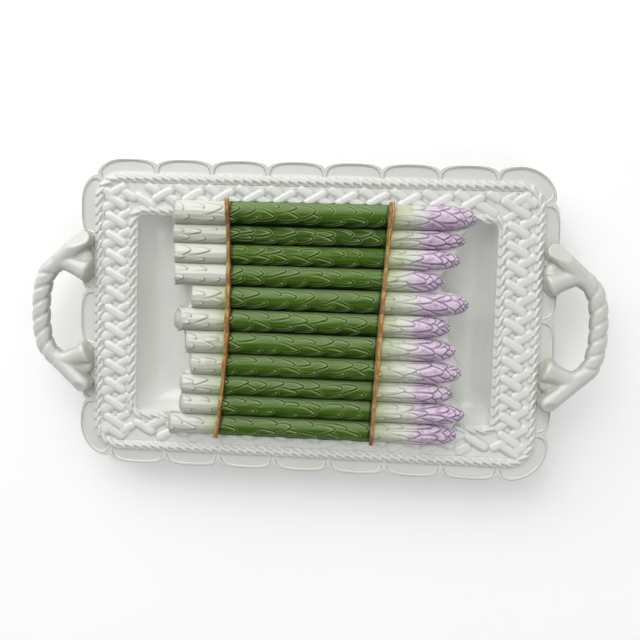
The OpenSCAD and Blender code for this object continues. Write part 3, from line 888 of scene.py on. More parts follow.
class RopeTree(RepeatTree):
    """Lays slanted strands along a path, on a flat band that follows it."""

    name = "Rope"
    inputs = {"Strand": "Object", "Strand Pitch": "Float", "Strand Turn": "Float",
              "Band Width": "Float", "Band Height": "Float"}

    def lay_out(self) -> None:
        """Fill the tree."""
        n, given = self.nodes, self.given
        spaced = n.add("GeometryNodeResampleCurve",
                       {"Curve": given("Geometry"), "Length": given("Strand Pitch")},
                       mode="LENGTH")
        points = n.add("GeometryNodeCurveToPoints", {"Curve": spaced.outputs[0]},
                       mode="EVALUATED")
        along = n.add("FunctionNodeAlignRotationToVector", {"Vector": points.outputs["Tangent"]},
                      axis="X", pivot_axis="Z")
        turn = n.add("ShaderNodeCombineXYZ", {"Z": given("Strand Turn")})
        euler = n.add("FunctionNodeEulerToRotation", {0: turn.outputs[0]})
        slanted = n.add("FunctionNodeRotateRotation", {0: along.outputs[0], 1: euler.outputs[0]},
                        rotation_space="LOCAL")
        strand = n.add("GeometryNodeObjectInfo", {"Object": given("Strand")})
        placed = n.add("GeometryNodeInstanceOnPoints",
                       {"Points": points.outputs["Points"], "Rotation": slanted.outputs[0],
                        "Instance": strand.outputs["Geometry"]})
        section = n.add("GeometryNodeCurvePrimitiveQuadrilateral",
                        {"Width": given("Band Width"), "Height": given("Band Height")})
        band = n.add("GeometryNodeCurveToMesh",
                     {"Curve": given("Geometry"), "Profile Curve": section.outputs[0],
                      "Fill Caps": True})
        both = n.add("GeometryNodeJoinGeometry", {0: band.outputs[0]})
        n.join(placed.outputs[0], both.inputs[0])
        self.close(both.outputs[0])


class StripTree(RepeatTree):
    """Lays a strip on every point of a plan, turned and stretched as the point says."""

    name = "Strips"
    inputs = {"Strip": "Object", "Base": "Object"}

    def lay_out(self) -> None:
        """Fill the tree."""
        n, given = self.nodes, self.given
        turn = n.add("GeometryNodeInputNamedAttribute", {"Name": "turn"}, data_type="FLOAT")
        stretch = n.add("GeometryNodeInputNamedAttribute", {"Name": "stretch"},
                        data_type="FLOAT_VECTOR")
        angles = n.add("ShaderNodeCombineXYZ", {"Z": turn.outputs[0]})
        euler = n.add("FunctionNodeEulerToRotation", {0: angles.outputs[0]})
        strip = n.add("GeometryNodeObjectInfo", {"Object": given("Strip")})
        base = n.add("GeometryNodeObjectInfo", {"Object": given("Base")})
        placed = n.add("GeometryNodeInstanceOnPoints",
                       {"Points": given("Geometry"), "Instance": strip.outputs["Geometry"],
                        "Rotation": euler.outputs[0], "Scale": stretch.outputs[0]})
        both = n.add("GeometryNodeJoinGeometry", {0: placed.outputs[0]})
        n.join(base.outputs["Geometry"], both.inputs[0])
        self.close(both.outputs[0])


class FibreTree(RepeatTree):
    """Makes every spline a fibre that wanders a little along its way."""

    name = "Fibres"
    inputs = {"Fibre Radius": "Float", "Wander": "Float", "Seed": "Float"}
    fineness = 0.7
    wave = 9.0
    sides = 10

    def lay_out(self) -> None:
        """Fill the tree."""
        n, given = self.nodes, self.given
        fine = n.add("GeometryNodeResampleCurve",
                     {"Curve": given("Geometry"), "Length": self.fineness * MM}, mode="LENGTH")
        noise = n.add("ShaderNodeTexNoise",
                      {"Vector": n.add("GeometryNodeInputPosition").outputs[0],
                       "W": given("Seed"), "Scale": 1 / (self.wave * MM)}, noise_dimensions="4D")
        centred = n.math("SUBTRACT", noise.outputs["Fac"], 0.5)
        shift = n.add("ShaderNodeCombineXYZ", {"X": n.math("MULTIPLY", centred, given("Wander"))})
        moved = n.add("GeometryNodeSetPosition",
                      {"Geometry": fine.outputs[0], "Offset": shift.outputs[0]})
        section = n.add("GeometryNodeCurvePrimitiveCircle",
                        {"Resolution": self.sides, "Radius": given("Fibre Radius")})
        tube = n.add("GeometryNodeCurveToMesh",
                     {"Curve": moved.outputs[0], "Profile Curve": section.outputs[0],
                      "Fill Caps": True})
        self.close(tube.outputs[0])


TREES: dict[str, RepeatTree] = {}


def path_object(name: str, lines: list[Array], cyclic: bool) -> bpy.types.Object:
    """Make a curve object of straight pieces through points.

    Args:
        name: Name of the curve.
        lines: One array of points in millimetres for each spline.
        cyclic: Whether each spline closes.

    Returns:
        The curve object.
    """
    curve = bpy.data.curves.new(name, "CURVE")
    curve.dimensions = "3D"
    for line in lines:
        spline = curve.splines.new("POLY")
        spline.points.add(len(line) - 1)
        rows = np.concatenate([line * MM, np.ones((len(line), 1))], axis=1)
        spline.points.foreach_set("co", rows.ravel())
        spline.use_cyclic_u = cyclic
    return linked(name, curve)


def strand_shape(name: str, length: float, width: float, height: float, bend: float,
                 squareness: float) -> bpy.types.Object:
    """Make one low strand or strip, lying along X with its belly below zero.

    Args:
        name: Name of the shape.
        length: Its length.
        width: Its width.
        height: Its height.
        bend: How far it bends to an S.
        squareness: Roundness of its plan, where 2 is an ellipse.

    Returns:
        The object.
    """
    rings, sides = 9, 8
    blunt, plump, taper = 0.995, 0.75, 0.7
    rows = []
    for k in range(rings):
        u = -math.cos(math.pi * (k + 0.5) / rings) / math.cos(math.pi * 0.5 / rings)
        size = max(1 - abs(u * blunt) ** squareness, 0.0) ** (1 / squareness)
        shift = bend * math.sin(math.pi * u)
        for m in range(sides):
            a = 2 * math.pi * (m + 0.5) / sides
            rise = math.copysign(abs(math.sin(a)) ** plump, math.sin(a))
            rows.append([u * length / 2, shift + math.cos(a) * width / 2 * size,
                         rise * height * size ** taper])
    quads = grid_faces(rings, sides, False, True)[:, ::-1].tolist()
    first, last = list(range(sides)), list(range(rings * sides - 1, (rings - 1) * sides - 1, -1))
    mesh = bpy.data.meshes.new(name)
    mesh.from_pydata((np.array(rows) * MM).tolist(), [], quads + [first, last])
    return linked(name, mesh)


def thrown_away(*objects: bpy.types.Object) -> None:
    """Remove helper objects that the trees have used."""
    for obj in objects:
        bpy.data.objects.remove(obj)


# ---------------------------------------------------------------- the dish


@dataclass
class Dish:
    """The tray with its coved wells and flat border, and the foot ring under it."""

    lip: float = 1.1
    edge_round: float = 1.2
    steps: int = 16
    corner_swell: float = 6.0
    edge_heights: tuple[float, float] = (26.0, 24.2)
    under_inset: float = 8.0
    foot_inset: float = 1.0
    foot_r: float = 12.0
    foot_profile: tuple[tuple[float, float], ...] = ((0, 3.2), (0, 1.2), (0.35, 0.35), (1.2, 0),
                                                     (3.8, 0), (4.65, 0.35), (5, 1.2), (5, 3.2),
                                                     (2.5, 3.4))
    rows: list[Array] = field(default_factory=list)

    def row(self, length: float, width: float, radius: float, height: float) -> None:
        """Add one ring to the section, in millimetres."""
        self.rows.append(Loop(length, width, radius).ring(height))

    def cove(self, grow: float, first: float, last: float) -> None:
        """Add the rings of a coved wall between two angles.

        Args:
            grow: Thickness over the well's own surface.
            first: Angle of the first ring.
            last: Angle of the last ring.
        """
        s = SIZES
        deep = s.border_h - s.floor
        for angle in np.linspace(first, last, self.steps):
            c, d = math.cos(math.radians(angle)), math.sin(math.radians(angle))
            out = 2 * (s.cove_run + grow) * c - 2 * s.cove_run
            self.row(s.well[0] + out, s.well[1] + out, s.well[2] + grow + self.corner_swell * d,
                     s.border_h - (deep + grow) * d)

    def body(self) -> bpy.types.Object:
        """Make the tray as one closed skin round the hollow under the bundle.

        Returns:
            The piece.
        """
        s = SIZES
        self.rows.clear()
        flat = (s.well[0] - 2 * s.cove_run, s.well[1] - 2 * s.cove_run)
        for u in np.linspace(0, 0.9, 5):
            self.row(s.hollow[0] + (flat[0] - s.hollow[0]) * u,
                     s.hollow[1] + (flat[1] - s.hollow[1]) * u, s.hollow[2], s.floor)
        self.cove(0, 90, 4)
        for k in range(1, 5):
            a = math.radians(22.5 * k)
            out = 2 * self.lip * (1 - math.cos(a))
            self.row(s.well[0] + out, s.well[1] + out, s.well[2] + out / 2,
                     s.border_h - self.lip + self.lip * math.sin(a))
        start = (s.well[0] + 2 * self.lip, s.well[1] + 2 * self.lip, s.well[2] + self.lip)
        for u in np.linspace(0.12, 1, 8):
            self.row(*(start[k] + (s.border[k] - start[k]) * u for k in range(3)), s.border_h)
        for height in self.edge_heights:
            self.row(*s.border, height)
        for k in range(1, 5):
            a = math.radians(22.5 * k)
            inset = 2 * self.edge_round * (1 - math.cos(a))
            self.row(s.border[0] - inset, s.border[1] - inset, s.border[2] - inset / 2,
                     s.border_h - s.border_t + self.edge_round * (1 - math.sin(a)))
        under = 2 * self.under_inset
        self.row(s.border[0] - under, s.border[1] - under, s.hollow[2], s.border_h - s.border_t)
        self.cove(s.wall, 14, 90)
        for u in np.linspace(0.1, 1, 5):
            self.row(flat[0] + (s.hollow[0] - flat[0]) * u,
                     flat[1] + (s.hollow[1] - flat[1]) * u, s.hollow[2], s.foot_h)
        self.row(*s.hollow, s.foot_h + s.wall / 2)
        obj = grid_object("tray", np.array(self.rows), close_rows=True, flip=True)
        mark_hollows(obj, rounds=10, depth=0.8)
        return GLAZES.dress(obj, WHITE, "dish_body")

    def foot(self) -> bpy.types.Object:
        """Make the foot ring, rounded and worn where it stands.

        Returns:
            The piece.
        """
        s = SIZES
        self.rows.clear()
        length, width = (size - 2 * s.cove_run - 2 * self.foot_inset for size in s.well[:2])
        for inset, height in self.foot_profile:
            self.row(length - 2 * inset, width - 2 * inset, self.foot_r - inset, height)
        obj = grid_object("foot", np.array(self.rows), close_rows=True)
        mark_hollows(obj, rounds=3, depth=0.5)
        return GLAZES.dress(obj, FOOT, "foot_ring")


@dataclass
class LobedRim:
    """The rim of lobes, each a shallow panel inside a raised bead."""

    count: int = 25
    reach: float = 10.5
    notch: float = 5.0
    power: float = 2.6
    bead: float = 1.4
    round: float = 0.5
    depth: float = 1.3
    thickness: float = 4.0
    notch_gap: float = 1.2
    inside: float = 3.2
    groove: float = 0.34
    groove_place: float = 0.5
    groove_w: float = 0.4
    swell: float = 0.12
    swell_place: float = 0.9
    swell_w: float = 0.7
    sunk: float = 0.12
    inner_rise: float = 0.06
    gap_flare: float = 1.1
    under_inset: float = 1.4
    fall_shares: tuple[float, float] = (0.35, 0.2)
    samples: int = 54

    def build(self) -> bpy.types.Object:
        """Make the rim as one closed skin.

        Returns:
            The piece.
        """
        s = SIZES
        loop = Loop(*s.border)
        pitch = loop.whole / self.count
        total = self.count * self.samples
        lobe_u = -np.cos(np.pi * (np.arange(self.samples) + 0.5) / self.samples)
        u = np.tile(lobe_u, self.count)
        number = np.repeat(np.arange(self.count), self.samples)
        points, out = loop.at((number + 0.5) * pitch + u * pitch / 2)
        rise = (1 - np.abs(u) ** self.power) ** (1 / self.power)
        edge = self.notch + (self.reach - self.notch) * rise
        x = np.abs(u) * pitch / 2
        half = pitch / 2 - self.bead - self.notch_gap
        inner_rise = np.clip(1 - (x / half) ** self.power, 0, 1) ** (1 / self.power)
        panel_edge = self.notch + (self.reach - self.notch) * inner_rise - self.bead
        rows = []
        across = np.concatenate([np.linspace(0, 0.18, 3), np.linspace(0.22, 1, 38)])
        for t in across:
            d = -self.inside + (edge - self.round + self.inside) * t
            open_side = half - x + self.gap_flare * np.clip(1 - d / self.notch, 0, 1)
            inside = np.minimum(open_side, panel_edge - d)
            step = smooth_step(inside, -0.25, 0.75)
            least, foot = self.fall_shares
            fall = self.depth * (least + (1 - least) * np.clip(d / self.reach, 0, 1))
            fall *= foot + (1 - foot) * smooth_step(d, -0.5, 2.0)
            swell = self.swell * np.exp(-((inside + self.swell_place) / self.swell_w) ** 2)
            z = s.border_h - step * fall + swell - self.sunk
            z -= self.groove * np.exp(-((inside - self.groove_place) / self.groove_w) ** 2)
            z += self.inner_rise * smooth_step(-d, 0, self.inside)
            rows.append(np.column_stack([points + out * d[:, None], z]))
        for k in range(1, 8):
            a = math.pi * (0.5 - k / 8)
            d = edge - self.round + self.round * math.cos(a)
            z = s.border_h - self.thickness / 2 + (self.thickness / 2 - self.sunk) * math.sin(a)
            rows.append(np.column_stack([points + out * d[:, None], np.full(total, z)]))
        for t in (1.0, 0.66, 0.33, 0.0):
            d = -self.inside + (edge - self.under_inset + self.inside) * t
            z = s.border_h - self.thickness
            rows.append(np.column_stack([points + out * d[:, None], np.full(total, z)]))
        obj = grid_object("lobes", np.array(rows), close_rows=True, flip=True)
        mark_hollows(obj, rounds=6, depth=0.22, sides=0.15)
        return GLAZES.dress(obj, WHITE, "lobed_rim")


# ---------------------------------------------------------------- ropes and weave


@dataclass
class Ropes:
    """The outer rope and the two ends of the inner rope."""

    strand: tuple[float, float, float] = (9.8, 3.1, 2.4)
    turn: float = 36.0
    outer_pitch: float = 6.36
    inner_pitch: float = 6.8
    band: tuple[float, float] = (7.2, 0.6)
    bend: float = 0.5
    squareness: float = 2.2
    lift: float = 0.15
    end_gap: float = 2.6
    lean: float = 0.45
    samples: tuple[int, int] = (700, 220)
    voxel: float = 0.54

    def lay(self, name: str, line: Array, cyclic: bool, pitch: float, *nodes: str
            ) -> bpy.types.Object:
        """Lay one rope along a line.

        Args:
            name: Name of the piece.
            line: The rope's path, seen from above.
            cyclic: Whether it closes.
            pitch: Space from strand to strand.
            *nodes: Solids that it replaces.

        Returns:
            The piece.
        """
        strand = strand_shape("strand", *self.strand, self.bend, self.squareness)
        line = np.column_stack([line, np.full(len(line), SIZES.border_h + self.lift)])
        path = path_object(name, [line], cyclic)
        rope = TREES["rope"].run(path, Strand=strand, Strand_Pitch=pitch * MM,
                                 Strand_Turn=-math.radians(self.turn),
                                 Band_Width=self.band[0] * MM, Band_Height=self.band[1] * MM,
                                 Material=GLAZES.material(WHITE))
        thrown_away(strand)
        rope = softened(rope, self.voxel, 1)
        mark_hollows(rope, rounds=4, depth=0.26, sides=0.4)
        return GLAZES.dress(rope, WHITE, *nodes)

    def build(self) -> None:
        """Make the three ropes."""
        loop = Loop(*SIZES.outer_rope)
        points, _ = loop.at(np.linspace(0, loop.whole, self.samples[0], endpoint=False))
        self.lay("rope_outer", points, True, self.outer_pitch, "outer_rope")
        loop = Loop(*SIZES.inner_rope)
        r = loop.radius
        arc, straight = math.pi * r / 2, loop.length / 2 - r
        side = loop.width - 2 * r
        last = BUNDLE.count - 1
        for end in End:
            if end is End.LEFT:
                gap = self.lean + self.end_gap
                s0 = -1.5 * arc - side - straight - BUNDLE.butt_x(last) + gap
                s1 = arc / 2 + straight + BUNDLE.butt_x(0) - gap
            else:
                s0 = arc / 2 + straight + BUNDLE.tip_x(0) + self.end_gap
                s1 = 2.5 * arc + 3 * straight + side - BUNDLE.tip_x(last) - self.end_gap
            points, _ = loop.at(np.linspace(s0, s1, self.samples[1]))
            name = end.name.lower()
            self.lay(f"rope_inner_{name}", points, False, self.inner_pitch, f"inner_rope_{name}")


StripRow = tuple[float, float, Turn, float, float, float]
Wedge = tuple[float, float, float, float, float]


@dataclass(frozen=True)
class SideBand:
    """How the strips lie along one long side: the main ones, and two beside each gap."""

    middle: float
    pitch: float
    start: float
    way: Turn
    other: Turn
    short: tuple[float, float]
    long: tuple[float, float]
    share: float


@dataclass
class Weave:
    """The basket weave between the ropes, in four bands of strips over a thin ground."""

    strip_l: float = 17.5
    strip_w: float = 7.2
    height: float = 2.3
    angle: float = 30.0
    unit: tuple[float, float, float] = (10.0, 10.0, 2.0)
    squareness: float = 4.0
    end_pitch: float = 13.1
    shift: float = 2.5
    wedges: dict[End, tuple[Wedge, Wedge]] = field(default_factory=lambda: {
        End.LEFT: ((-5.4, 3.2, 12.0, 7.6, 0.78), (6.5, -2.2, 10.5, 6.0, 0.7)),
        End.RIGHT: ((7.4, -0.8, 13.5, 7.4, 0.8), (-6.0, 2.4, 10.0, 5.6, 0.7))})
    sides: dict[str, SideBand] = field(default_factory=lambda: {
        "top": SideBand(83.875, 21.5, 0.0, Turn.RISING, Turn.FALLING, (3.2, 4.0), (-1.8, -4.6),
                        1.0),
        "bottom": SideBand(-81.6, 23.6, -0.95, Turn.FALLING, Turn.RISING, (2.5, -5.4),
                           (-1.5, 4.3), 0.78)})
    short: tuple[float, float, float] = (11.0, 6.6, 0.76)
    long: tuple[float, float, float] = (17.5, 7.2, 0.82)
    main_share: float = 0.94
    corners: tuple[tuple[float, float, Turn, float], ...] = ((-1.0, 86.5, Turn.FALLING, 15.0),
                                                             (-9.5, 83.0, Turn.RISING, 12.0),
                                                             (5.5, 84.5, Turn.RISING, 9.0))
    rope_half: float = 3.2
    sunk: float = 0.1
    ground_sunk: float = 1.0
    ground_rise: float = 0.12
    voxel: float = 0.5

    def plan(self, name: str, rows: list[StripRow]) -> bpy.types.Object:
        """Make the points that the strips are laid on.

        Args:
            name: Name of the piece.
            rows: Place, lean, length, width and height of each strip.

        Returns:
            A mesh of loose points with their turn and stretch.
        """
        mesh = bpy.data.meshes.new(name)
        z = SIZES.border_h - self.sunk
        mesh.from_pydata([(x * MM, y * MM, z * MM) for x, y, *_ in rows], [], [])
        turn = mesh.attributes.new("turn", "FLOAT", "POINT")
        turn.data.foreach_set("value", [math.radians(self.angle) * way.value
                                        for _, _, way, *_ in rows])
        stretch = mesh.attributes.new("stretch", "FLOAT_VECTOR", "POINT")
        sizes = np.array([row[3:] for row in rows]) / self.unit
        stretch.data.foreach_set("vector", sizes.astype(np.float32).ravel())
        return linked(name, mesh)

    def ground(self, x0: float, x1: float, y0: float, y1: float) -> bpy.types.Object:
        """Make the thin ground under one band.

        Args:
            x0: Its left edge.
            x1: Its right edge.
            y0: Its front edge.
            y1: Its back edge.

        Returns:
            The ground.
        """
        low, high = SIZES.border_h - self.ground_sunk, SIZES.border_h + self.ground_rise
        corners = [(x, y, z) for z in (low, high) for x, y in
                   ((x0, y0), (x1, y0), (x1, y1), (x0, y1))]
        faces = np.array([[3, 2, 1, 0], [4, 5, 6, 7], [0, 1, 5, 4], [1, 2, 6, 5], [2, 3, 7, 6],
                          [3, 0, 4, 7]])
        return new_object("ground", np.array(corners), faces)

    def band(self, name: str, rows: list[StripRow], box: tuple[float, float, float, float],
             *nodes: str) -> bpy.types.Object:
        """Weave one band.

        Args:
            name: Name of the piece.
            rows: Its strips.
            box: Lowest and highest x and y of its ground.
            *nodes: Solids that it replaces.

        Returns:
            The piece.
        """
        strip = strand_shape("strip", *self.unit, 0.0, self.squareness)
        ground = self.ground(*box)
        piece = TREES["strips"].run(self.plan(name, rows), Strip=strip, Base=ground,
                                    Material=GLAZES.material(WHITE))
        thrown_away(strip, ground)
        piece = softened(piece, self.voxel, 2)
        mark_hollows(piece, rounds=8, depth=0.26, sides=0.5)
        return GLAZES.dress(piece, WHITE, *nodes)

    def build(self) -> None:
        """Weave the four bands."""
        s = SIZES
        half_out, wide_out = (size / 2 - self.rope_half for size in s.outer_rope[:2])
        half_in, wide_in = (size / 2 + self.rope_half for size in s.inner_rope[:2])
        mid = (s.outer_rope[0] + s.inner_rope[0]) / 4
        for end in End:
            name = end.name.lower()
            x0, x1 = sorted((end.value * half_in, end.value * half_out))
            rows = self.end_rows(end, mid, wide_out)
            self.band(f"weave_{name}_end", rows, (x0, x1, -wide_out, wide_out), f"weave_{name}")
        for name, side in self.sides.items():
            y0, y1 = sorted(math.copysign(y, side.middle) for y in (wide_in, wide_out))
            rows = self.side_rows(side, half_in)
            self.band(f"weave_{name}_side", rows, (-half_in, half_in, y0, y1), f"weave_{name}")

    def end_rows(self, end: End, mid: float, wide_out: float) -> list[StripRow]:
        """List the strips of one end: long ones, with a wedge beside each gap on either side.

        Args:
            end: Which end of the plate.
            mid: Distance of the band's middle from the plate's.
            wide_out: Half the band's whole reach.

        Returns:
            The strips.
        """
        x = end.value * mid + (0.0 if end is End.LEFT else -self.shift)
        rows: list[StripRow] = []
        for k in range(-7, 8):
            y = k * self.end_pitch
            if abs(y) < wide_out - 5:
                rows.append((x, y, Turn.FALLING, self.strip_l, self.strip_w, self.height))
            for dx, dy, length, width, high in self.wedges[end]:
                place = y + self.end_pitch / 2 + dy
                if abs(place) < wide_out - 4:
                    rows.append((x + dx, place, Turn.RISING, length, width, self.height * high))
        for dx, dy, way, length in self.corners:
            rows.append((end.value * (mid + dx), -dy, way, length, self.strip_w, self.height))
            back = Turn.FALLING if way is Turn.RISING else Turn.RISING
            rows.append((end.value * (mid + dx), dy, back, length, self.strip_w, self.height))
        return rows

    def side_rows(self, side: SideBand, half_in: float) -> list[StripRow]:
        """List the strips of one long side, as for an end.

        Args:
            side: How they lie there.
            half_in: Half the band's length.

        Returns:
            The strips.
        """
        rows: list[StripRow] = []
        for k in range(-6, 7):
            x = side.start + k * side.pitch
            gap = x + side.pitch / 2
            high = self.height * (side.share if abs(x) < BUNDLE.length / 2 else 1.0)
            if abs(x) < half_in - 6:
                rows.append((x, side.middle, side.way, self.strip_l,
                             self.strip_w * self.main_share, high))
            if abs(gap) < half_in - 4:
                for (dx, dy), (length, width, share) in ((side.short, self.short),
                                                         (side.long, self.long)):
                    rows.append((gap + dx, side.middle + dy, side.other, length, width,
                                 high * share))
        return rows


# ---------------------------------------------------------------- spears and buds


@dataclass(frozen=True)
class Leaf:
    """One bract or scale: where its tip lies, how long and wide it is, and which side is open."""

    tip: float
    middle: float
    length: float
    width: float
    rise: float
    turn: float = 0.0
    bend: float = 0.0
    open_side: int = 0


@dataclass
class Relief:
    """Height and lines of leaves that overlap like shingles, over a grid of places."""

    along: Array
    across: Array
    soft: float = 0.4
    cut: float = 0.68
    point: float = 0.68
    front_share: float = 0.6
    brim: float = 0.12

    def of(self, leaves: list[Leaf]) -> tuple[Array, Array, Array]:
        """Work out the relief.

        Args:
            leaves: The leaves, in millimetres on the unrolled surface.

        Returns:
            Height, groove and pale edge at each place.
        """
        height = np.zeros(self.along.shape)
        groove = np.zeros(self.along.shape)
        edge = np.zeros(self.along.shape)
        for leaf in leaves:
            c, s = math.cos(leaf.turn), math.sin(leaf.turn)
            dx, dy = self.along - leaf.tip, self.across - leaf.middle
            back = -(dx * c + dy * s)
            side = -dx * s + dy * c + leaf.bend * (back / leaf.length) ** 2
            shut = 1 - smooth_step(side * leaf.open_side, -0.2, 0.9) * (back > 0.8)
            side = np.abs(side)
            near = (back > -3) & (back < leaf.length) & (side < leaf.width)
            front = leaf.length * self.front_share
            half = leaf.width / 2 * np.clip(back / front, 0, 1) ** self.point
            margin = np.where(back > 0, (half - side) * 0.8, -np.hypot(back, side))
            fade = np.clip(1.25 * (1 - back / leaf.length), 0, 1) ** 0.8 * near * shut
            inside = smooth_step(margin, -self.soft / 2, self.soft / 2)
            height = np.maximum(height * (1 - 0.5 * inside * fade), leaf.rise * inside * fade)
            outside = np.exp(-((margin + self.soft * 0.9) / (self.soft * 0.8)) ** 2) * fade
            groove = np.maximum(groove * (1 - inside * fade), outside)
            rims = np.maximum(np.exp(-((margin - self.soft * 0.8) / (self.soft * 0.7)) ** 2),
                              0.7 * np.exp(-((margin + self.soft * 2.5) / (self.soft * 0.7)) ** 2))
            edge = np.maximum(edge * (1 - inside * fade), rims * fade)
        return height - self.cut * groove + self.brim * edge, groove, edge


# Each scale's tip and middle, and its length and width, as shares of the bud's
SCALES = ((0.06, -0.30, 0.45, 0.30), (0.16, 0.10, 0.55, 0.30), (0.34, -0.12, 0.80, 0.32),
          (0.46, 0.30, 0.90, 0.34), (0.56, -0.34, 0.84, 0.36), (0.64, 0.04, 0.66, 0.36),
          (0.68, 0.40, 0.40, 0.26), (0.71, -0.22, 0.26, 0.26), (0.74, 0.20, 0.24, 0.26),
          (0.77, -0.42, 0.22, 0.24), (0.80, 0.00, 0.20, 0.24), (0.82, 0.36, 0.18, 0.22),
          (0.84, -0.24, 0.18, 0.22), (0.87, 0.16, 0.17, 0.21), (0.89, -0.08, 0.16, 0.20),
          (0.90, 0.38, 0.16, 0.20), (0.91, -0.36, 0.15, 0.20), (0.93, 0.22, 0.14, 0.18),
          (0.94, 0.02, 0.14, 0.18), (0.95, -0.20, 0.13, 0.18), (0.975, 0.32, 0.12, 0.17),
          (0.98, 0.12, 0.12, 0.17), (0.985, -0.10, 0.12, 0.17), (0.99, -0.32, 0.12, 0.17))
# Size, place along, groove and pale edge of each ring of a cut butt, from its middle out
BUTT = ((0.0, 1.5, 0.3, 0.0), (0.3, 1.4, 0.35, 0.0), (0.6, 1.05, 0.5, 0.0),
        (0.76, 0.5, 0.75, 0.0), (0.85, 0.12, 0.4, 0.4), (0.92, 0.08, 0.1, 0.9),
        (0.97, 0.5, 0.5, 0.3))


